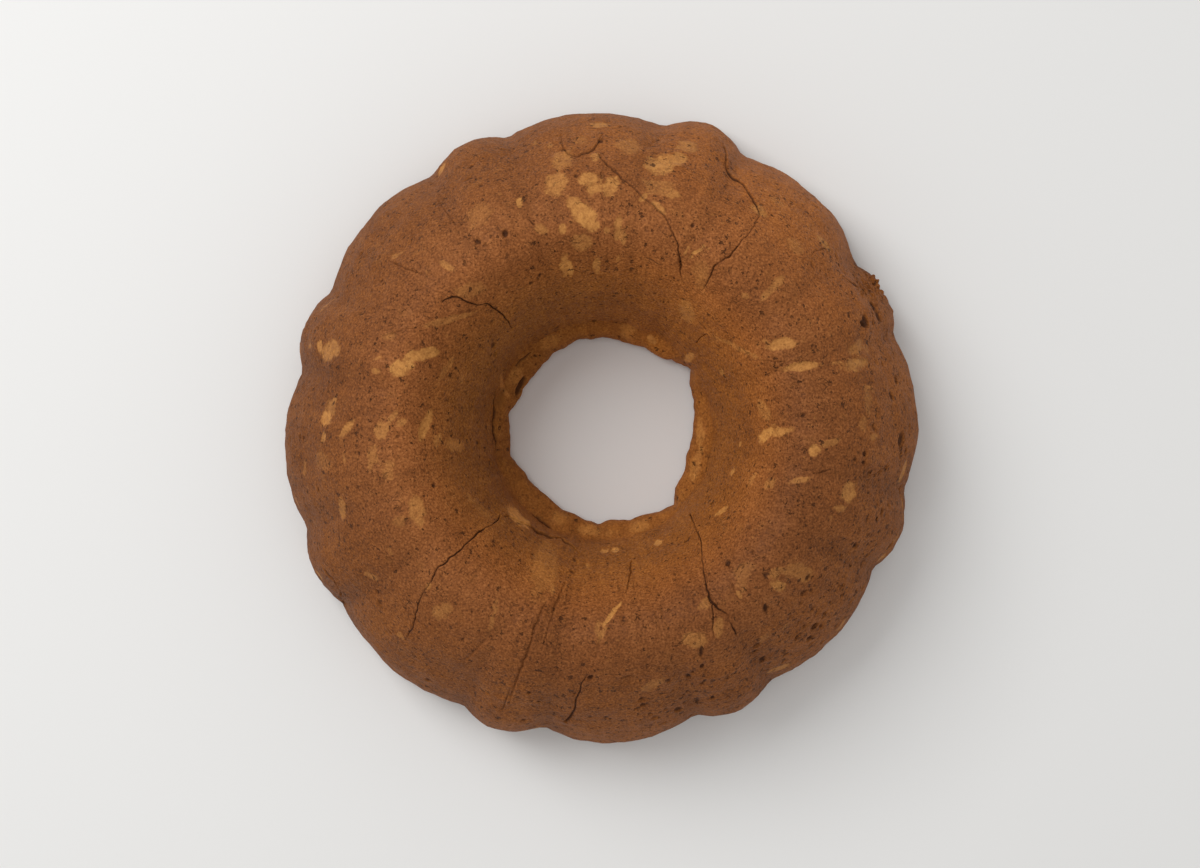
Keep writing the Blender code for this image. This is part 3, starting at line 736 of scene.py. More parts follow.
def smooth_course(points, step):
    """Points at about a step apart on a smooth curve through (x, y, width) points."""
    given = np.array([(p[0], p[1], p[2] if len(p) > 2 else 1.0) for p in points], float)
    if len(given) == 2:
        given = np.array([given[0], (given[0] + given[1]) / 2, given[1]])
    padded = np.vstack([2 * given[0] - given[1], given, 2 * given[-1] - given[-2]])
    course = []
    for i in range(len(given) - 1):
        before, start, end, after = padded[i : i + 4]
        count = max(2, int(np.hypot(*(end - start)[:2]) / step))
        share = np.linspace(0, 1, count, endpoint=False)[:, None]
        course.append(0.5 * (
            2 * start + (end - before) * share
            + (2 * before - 5 * start + 4 * end - after) * share**2
            + (3 * start - before - 3 * end + after) * share**3
        ))
    course.append(given[-1:])
    return np.vstack(course)


def eased(values):
    """Each row of values evened out with its neighbours."""
    for _ in range(2):
        inner = (values[:-2] + values[1:-1] + values[2:]) / 3
        values = np.vstack([values[:1], inner, values[-1:]])
    return values


class CrackSamples:
    """Points close together along every crack, with what the crack is like there."""

    def __init__(self, crust):
        samples = []
        for number, (half_width, dark, step, points) in enumerate(CRACKS.values()):
            course = smooth_course(points, step=1.0)
            draw = np.random.default_rng(100 + number)
            jitter = draw.normal(size=(len(course), 2))
            for _ in range(2):
                jitter = (np.roll(jitter, 1, 0) + jitter + np.roll(jitter, -1, 0)) / 3
            found = [crust.at_pixel(x, y) for x, y in course[:, :2] + jitter * 0.8]
            places = eased(np.array([hit[0] for hit in found]))
            normals = eased(np.array([hit[1] for hit in found]))
            left = np.cross(normals, eased(np.gradient(places, axis=0)))
            left /= np.maximum(np.linalg.norm(left, axis=1), 1e-9)[:, None]
            foreshortened = np.maximum(np.hypot(left[:, 0], left[:, 1]), MOST_FORESHORTENED)
            coarse = np.arange(len(course))
            fine = np.linspace(0, len(course) - 1, 3 * len(course))
            places, left = (self._stretched(values, coarse, fine) for values in (places, left))
            foreshortened = np.interp(fine, coarse, foreshortened)
            widths = np.interp(fine, coarse, course[:, 2] * draw.uniform(0.75, 1.25, len(course)))
            ends = np.minimum(fine, fine[-1] - fine) / 12
            strength = np.clip(0.35 + 0.65 * widths, 0.5, 1.0)
            samples.append((
                places,
                half_width * MM * widths / foreshortened,
                (half_width * widths + 0.3) * MM / foreshortened,
                dark * strength,
                strength * min(1.0, 2 * dark) ** 2 * foreshortened**2,
                step * MM * np.clip(ends, 0, 1),
                left,
            ))
        self.place, self.width, self.reach, self.dark, self.deep, self.step, self.left = (
            np.concatenate(values) for values in zip(*samples)
        )
        self.tree = tree_of(self.place)

    @staticmethod
    def _stretched(values, coarse, fine):
        return np.stack([np.interp(fine, coarse, values[:, axis]) for axis in range(3)], 1)

    def relief(self, points):
        """(relief, darkness of the painted shade) at points."""
        distance, index = nearest(points, self.tree)
        width = self.width[index]
        depth = np.minimum(CRACK_DEPTH * MM + CRACK_DEPTH_FOR_WIDTH * width, DEEPEST_CRACK * MM)
        across = distance / np.maximum(width * 1.3, 0.3 * MM)
        relief = -depth * self.deep[index] * (1 - fade(across, 0.0, 1.2))
        relief += CRACK_RIM * MM * np.exp(-(((across - 2.2) / 1.0) ** 2))
        side = np.sign(((points - self.place[index]) * self.left[index]).sum(1))
        fall = np.exp(-((distance / (STEP_REACH * MM)) ** 2))
        relief += 0.5 * self.step[index] * side * fall
        darkness = self.dark[index] * (1 - np.clip(distance / self.reach[index], 0, 1))
        return relief, darkness


class Spot:
    """An oval place on the crust."""

    def __init__(self, centre, normal, length, width, tilt):
        self.centre, self.normal = centre, normal
        self.lengthwise, self.across = tangent_axes(normal, tilt)
        self.half_length, self.half_width = length / 2, width / 2

    @classmethod
    def in_photo(cls, crust, x, y, length, width, tilt):
        """The oval on the crust that shows as the given one in the photo, in its pixels."""
        centre, normal = crust.at_pixel(x, y)
        spot = cls(centre, normal, length * PIXEL, width * PIXEL, tilt)
        plan = math.hypot(spot.lengthwise[0], spot.lengthwise[1])
        spot.half_length /= max(plan, MOST_FORESHORTENED)
        plan = math.hypot(spot.across[0], spot.across[1])
        spot.half_width /= max(plan, MOST_FORESHORTENED)
        return spot

    def away(self, points):
        """How far points are out: 0 in the middle, 1 on the oval's edge."""
        offset = points - self.centre
        u = offset @ self.lengthwise / self.half_length
        v = offset @ self.across / self.half_width
        depth = offset @ self.normal / (4 * MM + self.half_length)
        return np.sqrt(u * u + v * v + depth * depth)

    def reach(self, times):
        return max(self.half_length, self.half_width) * times


def pale_spots(crust):
    """(spot, paleness) for the spots of the photo, and for those where it doesn't look."""
    spots = []
    for *oval, paleness in PALE_SPOTS:
        spots.append((Spot.in_photo(crust, *oval), paleness))
    draw = np.random.default_rng(UNSEEN_SPOT_SEED)
    for _ in range(UNSEEN_SPOTS):
        low_flank = draw.uniform(0, SECTION.crest * 0.42)
        on_foot = draw.uniform(SECTION.flat_start - 4 * MM, SECTION.flat_end)
        along = np.array([low_flank if draw.random() < 0.55 else on_foot])
        angle = draw.uniform(0, TURN, 1)
        centre, normal = place_and_normal(angle, along)
        length = draw.uniform(*UNSEEN_SPOT_LENGTHS) * MM
        width = draw.uniform(*UNSEEN_SPOT_WIDTHS) * MM
        spot = Spot(centre, normal, length, width, draw.uniform(0, 180))
        spots.append((spot, draw.uniform(*UNSEEN_SPOT_PALENESS)))
    return spots


def place_and_normal(angle, along):
    """(point, normal) of one place of the form."""
    nudge = 0.5 * MM
    centre = crust_points(angle, along)[0]
    down = crust_points(angle, along + nudge)[0] - crust_points(angle, along - nudge)[0]
    around = crust_points(angle + 0.006, along)[0] - crust_points(angle - 0.006, along)[0]
    normal = np.cross(down, around)
    radial, upward = SECTION.outward(along)
    facing = np.array([math.cos(angle[0]) * radial[0], math.sin(angle[0]) * radial[0], upward[0]])
    normal *= np.sign(normal @ facing) / np.linalg.norm(normal)
    return centre, normal


def pits(crust):
    """(spot, strength) for the pits of the photo and for the many small ones."""
    found = []
    for *oval, strength in PITS:
        found.append((Spot.in_photo(crust, *oval), strength))
    draw = np.random.default_rng(SMALL_PIT_SEED)
    low, high = SMALL_PIT_RADII
    while len(found) < SMALL_PITS + len(PITS):
        along = draw.uniform(0, SECTION.length, 1)
        angle = draw.uniform(0, TURN, 1)
        radius, height = SECTION.at(along)
        # More of them where the crust met the pan's side, and more low on the right
        crowd = fade(radius[0], 86 * MM, 98 * MM) * (1 - 0.6 * fade(radius[0], 110 * MM, 116 * MM))
        crowd = (0.12 + 0.88 * crowd) * (0.25 + 0.75 * bump_at(angle[0], 308, 50))
        if draw.random() > crowd * radius[0] / CREASE_RADIUS:
            continue
        size = (low + (high - low) * draw.random() ** 2.2) * MM
        centre, normal = place_and_normal(angle, along)
        stretch = draw.uniform(1.0, 1.7)
        spot = Spot(centre, normal, 2 * size * stretch, 2 * size, draw.uniform(0, 180))
        found.append((spot, draw.uniform(0.5, 0.95)))
    return found


def lip_lumps(crust):
    """(spot, height) of the lumps of batter that crept over the edge of the pan's tube."""
    return [(Spot.in_photo(crust, *oval), tall * MM) for *oval, tall in LIP_LUMPS]


def rim_crumbs():
    """(spot, height) of the crumbs that hang at the torn rim."""
    crumbs = []
    for degrees, up, across, tall in RIM_CRUMBS:
        centre, normal = place_and_normal(np.radians([degrees]), np.array([up * MM]))
        crumbs.append((Spot(centre, normal, across * MM, 0.8 * across * MM, 30 * up), tall * MM))
    return crumbs


def torn_rim(points):
    """1 where crust is torn off the rim, and nothing elsewhere."""
    angle = np.arctan2(points[:, 1], points[:, 0])
    on_wall = fade(np.hypot(points[:, 0], points[:, 1]), 103 * MM, 114 * MM)
    on_wall *= fade(points[:, 2], 0.2 * MM, FOOT_LIFT)
    return bump_at(angle, TORN_RIM_ANGLE, TORN_RIM_HALF_WIDTH) * on_wall


def rows_along():
    """Lengths along the section of the grid's rows, close at the lip and wide on the foot."""
    fine = np.linspace(0, SECTION.length, 4000)
    spacing = np.full_like(fine, ROW_SPACING)
    at_lip = (fine > SECTION.throat_foot - LIP_ROWS_REACH) & (fine < SECTION.flat_start)
    spacing[at_lip] = THROAT_ROW_SPACING
    foot_start, foot_end = SECTION.flat_start + FOOT_MARGIN, SECTION.flat_end - FOOT_MARGIN
    spacing[(fine > foot_start) & (fine < foot_end)] = FOOT_ROW_SPACING
    passed = np.append(0, np.cumsum(np.diff(fine) / spacing[1:]))
    count = int(round(passed[-1]))
    return np.interp(np.arange(count + 1) * passed[-1] / count, passed, fine)


class Sheet:
    """A closed grid on a plain torus, whose two angles stand for the place on the ring."""

    def __init__(self):
        self.rows = rows_along()
        count = len(self.rows) - 1
        angle, turn = np.meshgrid(
            np.arange(TURN_STEPS) * TURN / TURN_STEPS,
            np.arange(count) * TURN / count,
            indexing="ij",
        )
        across = 2 + np.cos(turn)
        points = np.stack([across * np.cos(angle), across * np.sin(angle), np.sin(turn)], 2)
        self.mesh = bmesh.new()
        grid = [[self.mesh.verts.new(point) for point in ring] for ring in points]
        for i in range(TURN_STEPS):
            here, there = grid[i], grid[(i + 1) % TURN_STEPS]
            for j in range(count):
                k = (j + 1) % count
                self.mesh.faces.new((here[j], there[j], there[k], here[k]))

    def places(self, points=None):
        """(angle round the ring, length along the section) of every point of the grid."""
        if points is None:
            points = np.array([vertex.co for vertex in self.mesh.verts])
        angle = np.arctan2(points[:, 1], points[:, 0])
        turn = np.arctan2(points[:, 2], np.hypot(points[:, 0], points[:, 1]) - 2) % TURN
        share = turn / TURN * (len(self.rows) - 1)
        return angle, np.interp(share, np.arange(len(self.rows)), self.rows)

    def halve(self, gap, within):
        """Splits the faces whose middle is that near to a feature."""
        middles = np.array([face.calc_center_median() for face in self.mesh.faces])
        near = gap(crust_points(*self.places(middles))) < within
        edges = set()
        for face, is_near in zip(self.mesh.faces, near):
            if is_near:
                edges.update(face.edges)
        bmesh.ops.subdivide_edges(self.mesh, edges=list(edges), cuts=1, use_grid_fill=True)
        many_sided = [face for face in self.mesh.faces if len(face.verts) > 4]
        bmesh.ops.triangulate(self.mesh, faces=many_sided)


def tree_of(points):
    tree = KDTree(len(points))
    for index, point in enumerate(points):
        tree.insert(point, index)
    tree.balance()
    return tree


def nearest(points, tree):
    """(distance, index) of the tree's nearest point for each of the points."""
    found = [tree.find(point) for point in points]
    return np.array([hit[2] for hit in found]), np.array([hit[1] for hit in found])


class Features:
    """Everything on the crust that needs a finer grid."""

    def __init__(self, crust):
        self.cracks = CrackSamples(crust)
        self.pale = pale_spots(crust)
        self.pits = pits(crust)
        self.lumps = lip_lumps(crust)
        self.crumbs = rim_crumbs()

    def gap(self, points):
        """How far each point is from the nearest detail, or a little more for coarser detail."""
        distance, index = nearest(points, self.cracks.tree)
        gap = distance - self.cracks.width[index]
        gap = np.minimum(gap, (0.7 + 4 * (1 - torn_rim(points))) * MM)
        tree = tree_of(points)
        for spot, _ in self.crumbs:
            self._shrink(gap, points, tree, spot, *CRUMB_ADDS)
        for spot, _ in self.pits:
            self._shrink(gap, points, tree, spot, *PIT_ADDS)
        for spot, paleness in self.pale:
            if paleness > LEAST_REFINED_PALENESS:
                self._shrink(gap, points, tree, spot, *SPOT_ADDS)
        return gap

    @staticmethod
    def _shrink(gap, points, tree, spot, small, adds_if_small, adds_if_large):
        """Lowers the distances to those from the spot's edge where that is nearer."""
        within = [hit[1] for hit in tree.find_range(Vector(spot.centre), spot.reach(1) + 2 * MM)]
        if not within:
            return
        size = min(spot.half_length, spot.half_width)
        away = np.abs(spot.away(points[within]) - 1.0) * size
        added = (adds_if_small if size < small * MM else adds_if_large) * MM
        gap[within] = np.minimum(gap[within], away + added)


def each_spot(points, spots, times):
    """(indices, how far out they are, spot, value) of each spot for the points that it reaches."""
    tree = tree_of(points)
    for spot, value in spots:
        within = [hit[1] for hit in tree.find_range(Vector(spot.centre), spot.reach(times))]
        if within:
            within = np.array(within)
            yield within, spot.away(points[within]), spot, value


def rough(points, length, size, seed):
    """Relief of that length and size in millimetres."""
    return size * MM * waves(points, length * MM, seed, count=22)


def lip_edge(points, angle, height, in_throat):
    """(height of the lip's upper edge, share of the groove under it)."""
    level = LIP_EDGE_HEIGHT * MM + LIP_EDGE_RISE * MM * bump_at(angle, *LIP_EDGE_RISE_AT)
    level += LIP_EDGE_WANDER * MM * waves(points * [1, 1, 0], LIP_EDGE_WANDER_LENGTH * MM, seed=51)
    unevenness = waves(points, LIP_GROOVE_UNEVENNESS_LENGTH * MM, seed=52)
    strength = bump_at(angle, *LIP_GROOVE_AT) + LIP_GROOVE_UNEVENNESS * unevenness - 0.15
    across = (height - level) / (LIP_GROOVE_HALF_WIDTH * MM)
    return level, np.clip(strength, 0, 1) * np.exp(-across * across) * in_throat


def hanging_crumbs(points, crumbs):
    """Relief of the crumbs at the torn rim."""
    relief = np.zeros(len(points))
    for within, away, _, tall in each_spot(points, crumbs, 1.5):
        relief[within] += tall * np.sqrt(np.clip(1 - (away / 1.15) ** 2, 0, 1))
    return relief


def raised_lumps(points, lumps):
    """(relief, share) of the lumps on the lip."""
    relief, share = np.zeros((2, len(points)))
    for within, away, _, tall in each_spot(points, lumps, 1.3):
        relief[within] += tall * (1 - fade(away, 0.1, 1.15))
        share[within] = np.maximum(share[within], 1 - fade(away, 0.2, 1.1))
    return relief, share


def pale_places(points, spots):
    """(relief, shape, paleness) of the pale spots. The palest one counts where they overlap."""
    relief, pale, paleness = np.zeros((3, len(points)))
    for within, away, _, value in each_spot(points, spots, 2.2):
        shape = np.clip(1.5 - 0.75 * away, 0, 1) * value
        better = shape > pale[within] * paleness[within]
        pale[within] = np.where(better, shape / value, pale[within])
        paleness[within] = np.where(better, value, paleness[within])
        if value > FIRM_PALENESS:
            relief[within] -= SPOT_SINK * MM * (1 - fade(away, 0.8, 1.15))
    return relief, pale, paleness


def pitted(points, spots):
    """(relief, darkness of the painted shade) of the pits. On a steep wall they are shallow."""
    relief, dark = np.zeros((2, len(points)))
    for within, away, spot, strength in each_spot(points, spots, 1.5):
        depth = PIT_DEPTH * min(spot.half_length, spot.half_width, WIDEST_DEEPENED_PIT * MM)
        depth *= 0.3 + 0.7 * abs(spot.normal[2])
        relief[within] -= strength * depth * np.sqrt(np.clip(1 - away * away, 0, 1))
        dark[within] = np.maximum(dark[within], strength * (1 - fade(away, 0.5, 1.25)))
    return relief, dark


def tone_with_painted_shade(angle, radius, height, valley, torn):
    """How dark the crust is coloured, from 0 to 1: its bake, and painted light and shade."""
    zones = {
        "off_foot": fade(height, 0, 8 * MM),
        "flank": on_flank(radius, height),
        "shoulder": fade(radius, 76 * MM, 86 * MM) * (1 - fade(radius, 102 * MM, 112 * MM)),
    }
    bake_and_painted_shade = BAKED_MEAN + DARKER_WHERE_TORN * torn
    # Uneven bake, and painted light and shade on the sides that light falls on or misses
    for zone, amount, direction, half_width in BAKE_AND_PAINTED_LIGHT_PLACES:
        bake_and_painted_shade += amount * bump_at(angle, direction, half_width) * zones[zone]
    # Painted shade in the valleys between the flutes
    bake_and_painted_shade += PAINTED_SHADE_IN_VALLEYS * valley * (0.5 + 0.5 * bump_at(angle, 255, 70))
    # Painted shade on the crest towards 345 degrees, and painted light on its other side
    on_crest = np.exp(-(((radius - 69 * MM) / (9 * MM)) ** 2)) * fade(height, 0, FOOT_LIFT)
    bake_and_painted_shade += on_crest * (PAINTED_SHADE_ACROSS_CREST * np.cos(angle - PAINTED_SHADE_CREST_ANGLE) + PAINTED_LIGHT_ON_CREST)
    return np.clip(bake_and_painted_shade, 0, 1)


def on_flank(radius, height):
    return fade(radius, 80 * MM, 108 * MM) * fade(height, 0, 12 * MM)


def worked_crust(features, angle, along, normals):
    """(points, attributes) of the crust with all its relief."""
    smooth = crust_points(angle, along)
    radius, height = SECTION.at(along)
    in_throat = 1 - fade(radius, CREST_RADIUS - 25 * MM, CREST_RADIUS - 15 * MM)
    valley = valleys(angle, radius)
    torn = torn_rim(smooth)
    level, groove = lip_edge(smooth, angle, height, in_throat)
    lumps, lump_highlight = raised_lumps(smooth, features.lumps)
    sunk, pale, paleness = pale_places(smooth, features.pale)
    cracked, crack = features.cracks.relief(smooth)
    pits_down, pit = pitted(smooth, features.pits)

    off_foot = fade(height, 0.2 * MM, FOOT_LIFT)
    relief = sum(rough(smooth, *ripple) for ripple in RIPPLES) * (0.25 + 0.75 * off_foot)
    at_edge = np.exp(-(((height - 3 * MM) / (3 * MM)) ** 2)) * in_throat
    relief += rough(smooth, *LIP_ROUGHNESS) * at_edge
    relief -= VALLEY_DEPTH * MM * valley * (1 - fade(radius, 98 * MM, 110 * MM))
    relief += (rough(smooth, *TORN_ROUGHNESS) - TORN_RIM_DEPTH) * torn
    relief -= LIP_GROOVE_DEPTH * MM * groove
    relief += hanging_crumbs(smooth, features.crumbs) + lumps + sunk + cracked + pits_down
    points = smooth + normals * relief[:, None]
    points[:, 2] = np.maximum(points[:, 2], 0)

    on_outside = fade(radius, 88 * MM, 104 * MM) * fade(height, 0, FOOT_LIFT)
    attributes = {
        "pale": pale,
        "paleness": paleness,
        # Painted shade along the cracks and in the groove under the lip
        "crack": np.maximum(crack, 0.35 * groove),
        "pit": pit,
        "flank": on_flank(radius, height),
        # The bake's tone together with painted light and shade
        "bake_and_painted_shade": tone_with_painted_shade(angle, radius, height, valley, torn),
        # Masks of the painted bounce light inside the hole
        "inside": 1 - fade(radius, 58 * MM, 70 * MM),
        "throat": (1 - fade(radius, 44 * MM, 66 * MM)) * fade(height, 0, 8 * MM),
        "lip": in_throat * (1 - fade(height, level - 5 * MM, level + 9 * MM)),
        "porous": 0.15 + on_outside * (0.25 + 0.6 * np.maximum(bump_at(angle, 312, 55), torn)),
        # Painted highlight on the lumps
        "lump_highlight": lump_highlight,
        "under": 1 - fade(height, 0.5 * MM, FOOT_LIFT),
        # Painted light in the shade of the hole's upper left side
        "shaded_side_painted_light": bump_at(angle, 150, 80) * (1 - fade(radius, 48 * MM, 72 * MM)),
    }
    return points, attributes


def valleys(angle, radius):
    """1 in the middle of the valleys between the flutes, and nothing up on the crest."""
    share = flutes(angle) / NARROW_FLUTE_DEPTH
    off_crest = fade(radius, CREST_RADIUS - 10 * MM, CREST_RADIUS + 24 * MM)
    return np.exp(-((share / 0.45) ** 2)) * off_crest


def bump_at(angle, middle, half_width):
    """1 at that direction in degrees, and smoothly less to both sides."""
    away = (np.degrees(angle) - middle + 180) % 360 - 180
    return np.exp(-((away / half_width) ** 2))


def crust_mesh():
    """The worked crust as a mesh that carries its attributes."""
    crust = Crust()
    features = Features(crust)
    sheet = Sheet()
    for within in REFINED_WITHIN:
        sheet.halve(features.gap, within)

    angle, along = sheet.places()
    smooth = crust_points(angle, along)
    for vertex, point in zip(sheet.mesh.verts, smooth):
        vertex.co = point
    bmesh.ops.recalc_face_normals(sheet.mesh, faces=sheet.mesh.faces)
    sheet.mesh.normal_update()
    normals = np.array([vertex.normal for vertex in sheet.mesh.verts])
    points, attributes = worked_crust(features, angle, along, normals)

    mesh = bpy.data.meshes.new("ring_cake")
    sheet.mesh.to_mesh(mesh)
    sheet.mesh.free()
    mesh.vertices.foreach_set("co", points.astype(np.float32).ravel())
    for name, values in attributes.items():
        attribute = mesh.attributes.new(name, "FLOAT", "POINT")
        attribute.data.foreach_set("value", values.astype(np.float32))
    mesh.update()
    mesh.shade_smooth()
    return mesh


class Nodes:
    """Short names for building a material's nodes."""

    def __init__(self, material):
        material.use_nodes = True
        self.tree = material.node_tree
        self.shader = self.tree.nodes["Principled BSDF"]

    def _set(self, socket, value):
        if isinstance(value, bpy.types.NodeSocket):
            self.tree.links.new(value, socket)
        else:
            socket.default_value = value

    def add(self, kind, inputs=(), **settings):
        node = self.tree.nodes.new(kind)
        for name, value in settings.items():
            setattr(node, name, value)
        for name, value in dict(inputs).items():
            self._set(node.inputs[name], value)
        return node

    def math(self, operation, a, b=0.0, c=0.0):
        return self.add("ShaderNodeMath", {0: a, 1: b, 2: c}, operation=operation).outputs[0]

    def swing(self, value, size, onto):
        """onto, and more or less by that size as the value goes from 0 to 1."""
        return self.math("MULTIPLY_ADD", self.math("SUBTRACT", value, 0.5), size, onto)

    def vector(self, operation, *values):
        """A plain number stands for that number along X, Y and Z."""
        inputs = {
            index: (value,) * 3 if isinstance(value, (int, float)) else value
            for index, value in enumerate(values)
        }
        return self.add("ShaderNodeVectorMath", inputs, operation=operation).outputs[0]

    def noise(self, coordinates, length, detail=3.0, roughness=0.55, distortion=0.0):
        inputs = {
            "Vector": coordinates, "Scale": 1 / length, "Detail": detail,
            "Roughness": roughness, "Distortion": distortion,
        }
        return self.add("ShaderNodeTexNoise", inputs).outputs["Fac"]

    def attribute(self, name):
        return self.add("ShaderNodeAttribute", attribute_name=name).outputs["Fac"]

    def between(self, value, low, high, start=0.0, end=1.0):
        """start below low, end above high, smooth between."""
        inputs = {
            "Value": value, "From Min": low, "From Max": high, "To Min": start, "To Max": end,
        }
        return self.add("ShaderNodeMapRange", inputs, interpolation_type="SMOOTHSTEP").outputs[0]

    def mix(self, factor, a, b, blend="MIX"):
        node = self.add("ShaderNodeMix", data_type="RGBA", blend_type=blend)
        for socket, value in zip((node.inputs[0], node.inputs[6], node.inputs[7]), (factor, a, b)):
            self._set(socket, value)
        return node.outputs[2]

    def ramp(self, factor, *stops):
        node = self.add("ShaderNodeValToRGB", {"Fac": factor})
        elements = node.color_ramp.elements
        while len(elements) < len(stops):
            elements.new(0.5)
        for element, (place, colour) in zip(elements, stops):
            element.position = place
            element.color = colour
        return node.outputs["Color"]


def colour(red, green, blue):
    return (red, green, blue, 1.0)


def pores(nodes, coordinates, cell, smallest, largest, share):
    """Dark dots of uneven size: 1 inside a pore."""
    cells = nodes.add("ShaderNodeTexVoronoi", {"Vector": coordinates, "Scale": 1 / cell})
    chance = nodes.add("ShaderNodeSeparateColor", {"Color": cells.outputs["Color"]})
    size = nodes.between(chance.outputs[0], 0.0, 1.0, smallest / cell, largest / cell)
    inside = nodes.math("DIVIDE", cells.outputs["Distance"], size)
    dot = nodes.between(inside, 0.6, 1.15, 1.0, 0.0)
    present = nodes.math("LESS_THAN", chance.outputs[1], share)
    return nodes.math("MULTIPLY", dot, present)


class CrustFields:
    """Coordinates in millimetres, noises and the lip, which several parts of the look share."""

    def __init__(self, nodes):
        self.mm = nodes.vector("MULTIPLY", nodes.add("ShaderNodeTexCoord").outputs["Object"], 1000)
        shake = nodes.add("ShaderNodeTexNoise", {"Vector": self.mm, "Scale": 1.0, "Detail": 2.0})
        offset = nodes.vector("SUBTRACT", shake.outputs["Color"], 0.5)
        self.shaken, self.torn = (
            nodes.vector("MULTIPLY_ADD", offset, size, self.mm) for size in (1.5, 3.5)
        )
        self.mottle = nodes.noise(self.mm, 1.9, detail=3, roughness=0.7)
        self.grain = nodes.noise(self.mm, 0.8, detail=2, roughness=0.6)
        outward = nodes.vector("NORMALIZE", nodes.vector("MULTIPLY", self.mm, (1, 1, 0)))
        outward = nodes.vector("MULTIPLY", outward, 85)
        drawn_out = nodes.vector("MULTIPLY_ADD", self.mm, 0.12, outward)
        self.streak = nodes.noise(drawn_out, 4, detail=3)
        self.lip = nodes.attribute("lip")


def crust_tone(nodes, fields):
    """Colour from clouds, streaks along the flutes, mottling, grain and baking, and painted light
    and shade.
    """
    broad = nodes.noise(fields.mm, 34, detail=2)
    blotch = nodes.noise(fields.mm, 8, detail=3)
    fine = nodes.swing(fields.grain, 1.5, nodes.swing(fields.mottle, 0.24, 0.0))
    tone = nodes.math("MULTIPLY_ADD", fine, nodes.between(fields.lip, 0.0, 1.0, 1.0, 0.7), 0.5)
    for field, size in ((broad, 0.32), (blotch, 0.22), (fields.streak, 0.40)):
        tone = nodes.swing(field, size, tone)
    base = nodes.ramp(
        tone,
        (0.10, colour(0.102, 0.0307, 0.0067)),
        (0.5, colour(0.208, 0.0655, 0.0145)),
        (0.90, colour(0.335, 0.118, 0.0300)),
    )
    # The bake's tone with painted light and shade on the sides, in the flute valleys and on the
    # crest
    bake_and_shade_tint = nodes.ramp(
        nodes.attribute("bake_and_painted_shade"),
        (0.0, colour(1.0, 1.0, 0.97)), (0.15, colour(0.87, 0.87, 0.86)),
        (0.5, colour(0.67, 0.67, 0.67)), (1.0, colour(0.47, 0.46, 0.48)),
    )
    bake_and_shade_tint = nodes.mix(1.0, bake_and_shade_tint, colour(1.48, 1.53, 1.77), blend="MULTIPLY")
    base = nodes.mix(1.0, base, bake_and_shade_tint, blend="MULTIPLY")
    for attribute, tint in TINTS_AND_PAINTED_LIGHT:
        base = nodes.mix(nodes.attribute(attribute), base, colour(*tint), blend="MULTIPLY")
    return base


def with_pale_places(nodes, fields, base):
    """(colour, share of the spots): ragged pale spots, and faint clouds and flecks all over."""
    ragged = nodes.noise(fields.mm, 3.4, detail=4, roughness=0.62)
    edge = nodes.swing(ragged, 1.0, nodes.attribute("pale"))
    edge = nodes.swing(fields.mottle, 0.4, edge)
    spot = nodes.math("MULTIPLY", nodes.between(edge, 0.52, 0.86), nodes.attribute("paleness"))
    inner = nodes.math("MULTIPLY_ADD", nodes.math("SUBTRACT", edge, 1.0), 0.5, fields.mottle)
    pale = nodes.ramp(
        nodes.swing(fields.grain, 0.7, inner),
        (0.20, colour(0.33, 0.130, 0.031)),
        (0.65, colour(0.535, 0.237, 0.063)),
    )
    # Painted bounce light on the pale spots inside the hole, as on the crust around them
    pale = nodes.mix(nodes.attribute("inside"), pale, colour(1.30, 1.35, 1.30), blend="MULTIPLY")
    cloud = nodes.noise(fields.mm, 6.5, detail=4, roughness=0.6)
    flecks = pores(nodes, fields.shaken, 3.6, 0.25, 0.6, 0.3)
    base = nodes.mix(spot, base, pale)
    base = nodes.mix(nodes.between(cloud, 0.56, 0.72, 0.0, 0.16), base, pale)
    return nodes.mix(nodes.math("MULTIPLY", flecks, 0.45), base, pale), spot


def small_marks(nodes, fields, spot):
    """(share, how dark the painted shade is, how deep in millimetres) of the pores and the small
    folds.
    """
    on_lip, on_spot = nodes.math("MULTIPLY", fields.lip, 0.6), nodes.math("MULTIPLY", spot, 0.7)
    bare = nodes.math("SUBTRACT", 1.0, nodes.math("MAXIMUM", on_lip, on_spot))
    large, small = (
        nodes.math("MULTIPLY", pores(nodes, fields.shaken, *sizes), bare)
        for sizes in ((2.4, 0.22, 0.55, 0.62), (1.1, 0.12, 0.30, 0.75))
    )
    torn = pores(nodes, fields.torn, 2.7, 0.38, 0.85, nodes.attribute("porous"))
    fold_course = nodes.noise(fields.mm, 5.0, detail=2, roughness=0.5, distortion=0.8)
    off_course = nodes.math("ABSOLUTE", nodes.math("SUBTRACT", fold_course, 0.5))
    folds = nodes.math(
        "MULTIPLY",
        nodes.between(off_course, 0.004, 0.013, 1.0, 0.0),
        nodes.between(nodes.noise(fields.mm, 6.0, detail=2), 0.54, 0.62),
    )
    return (small, 0.5, 0.18), (folds, 0.4, 0.20), (large, 0.64, 0.40), (torn, 0.8, 0.50)


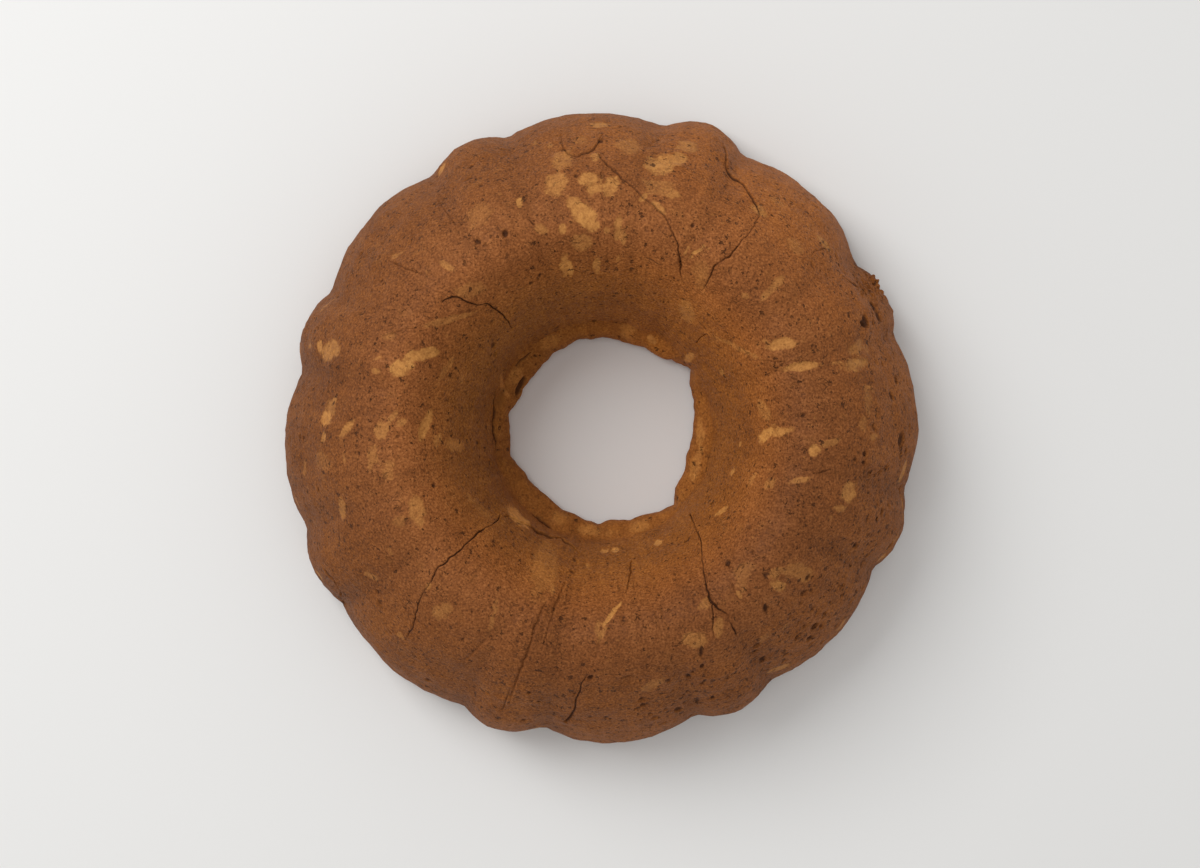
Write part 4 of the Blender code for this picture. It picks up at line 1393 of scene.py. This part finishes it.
def crust_material():
    material = bpy.data.materials.new("crust")
    nodes = Nodes(material)
    fields = CrustFields(nodes)
    base, spot = with_pale_places(nodes, fields, crust_tone(nodes, fields))
    marks = small_marks(nodes, fields, spot)
    # Painted shade in the pores and small folds
    for share, dark, _ in marks:
        base = nodes.mix(nodes.math("MULTIPLY", share, dark), base, colour(0.060, 0.0195, 0.0055))
    # Painted shade in the pits
    pit = nodes.between(nodes.attribute("pit"), 0.1, 0.95, 0.0, 0.86)
    base = nodes.mix(pit, base, colour(0.045, 0.0145, 0.0055))
    # Painted shade along the cracks, creases and the groove under the lip
    line = nodes.swing(fields.grain, 0.7, nodes.attribute("crack"))
    base = nodes.mix(nodes.between(line, 0.12, 0.72, 0.0, 0.92), base, colour(0.042, 0.013, 0.005))

    height = nodes.math("MULTIPLY", fields.mottle, 0.18)
    height = nodes.math("MULTIPLY_ADD", fields.grain, 0.20, height)
    height = nodes.math("MULTIPLY_ADD", fields.streak, 0.30, height)
    height = nodes.math("MULTIPLY", height, nodes.between(fields.lip, 0.0, 1.0, 1.0, 0.5))
    for share, _, deep in marks:
        height = nodes.math("MULTIPLY_ADD", share, -deep, height)
    bump = nodes.add("ShaderNodeBump", {"Height": height, "Strength": 1.0, "Distance": MM})

    links = nodes.tree.links
    links.new(base, nodes.shader.inputs["Base Color"])
    links.new(bump.outputs["Normal"], nodes.shader.inputs["Normal"])
    links.new(nodes.between(fields.mottle, 0.3, 0.7, 0.58, 0.74), nodes.shader.inputs["Roughness"])
    nodes.shader.inputs["Specular IOR Level"].default_value = 0.12
    return material


def make_cake():
    mesh = crust_mesh()
    mesh.materials.append(crust_material())
    cake = bpy.data.objects.new("ring_cake", mesh)
    bpy.context.scene.collection.objects.link(cake)
    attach(cake, "root")
    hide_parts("cake")


def make_floor():
    mesh = bpy.data.meshes.new("floor")
    size = 3.0
    corners = [(-size, -size, 0), (size, -size, 0), (size, size, 0), (-size, size, 0)]
    mesh.from_pydata(corners, [], [(0, 1, 2, 3)])
    material = bpy.data.materials.new("floor")
    material.use_nodes = True
    shader = material.node_tree.nodes["Principled BSDF"]
    shader.inputs["Base Color"].default_value = colour(0.80, 0.80, 0.79)
    shader.inputs["Roughness"].default_value = 0.7
    mesh.materials.append(material)
    floor = bpy.data.objects.new("floor", mesh)
    bpy.context.scene.collection.objects.link(floor)
    floor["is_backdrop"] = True


def make_light():
    lamp = bpy.data.lights.new("key", "AREA")
    lamp.size = LIGHT_SIZE
    lamp.energy = LIGHT_POWER
    light = bpy.data.objects.new("key", lamp)
    light.location = LIGHT_PLACE
    to_cake = Vector(LIGHT_TARGET) - Vector(LIGHT_PLACE)
    light.rotation_euler = to_cake.to_track_quat("-Z", "Y").to_euler()
    bpy.context.scene.collection.objects.link(light)


def make_surroundings():
    world = bpy.data.worlds.new("studio")
    world.use_nodes = True
    background = world.node_tree.nodes["Background"]
    background.inputs["Color"].default_value = colour(1.0, 0.99, 0.98)
    background.inputs["Strength"].default_value = SKY_STRENGTH
    bpy.context.scene.world = world
    bpy.context.scene.view_settings.view_transform = "Standard"


def make_camera():
    lens = bpy.data.cameras.new("camera")
    lens.sensor_width = SENSOR_WIDTH
    lens.lens = SENSOR_WIDTH * CAMERA_HEIGHT / (PHOTO_WIDTH * PIXEL)
    camera = bpy.data.objects.new("camera", lens)
    camera.location = camera_place()
    bpy.context.scene.collection.objects.link(camera)
    bpy.context.scene.camera = camera


make_camera()
make_surroundings()
make_light()
make_floor()
make_cake()

boxes = {"cad": CAD_BOX, "visual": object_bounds()}
{name: [list(corner) for corner in box] for name, box in boxes.items()}
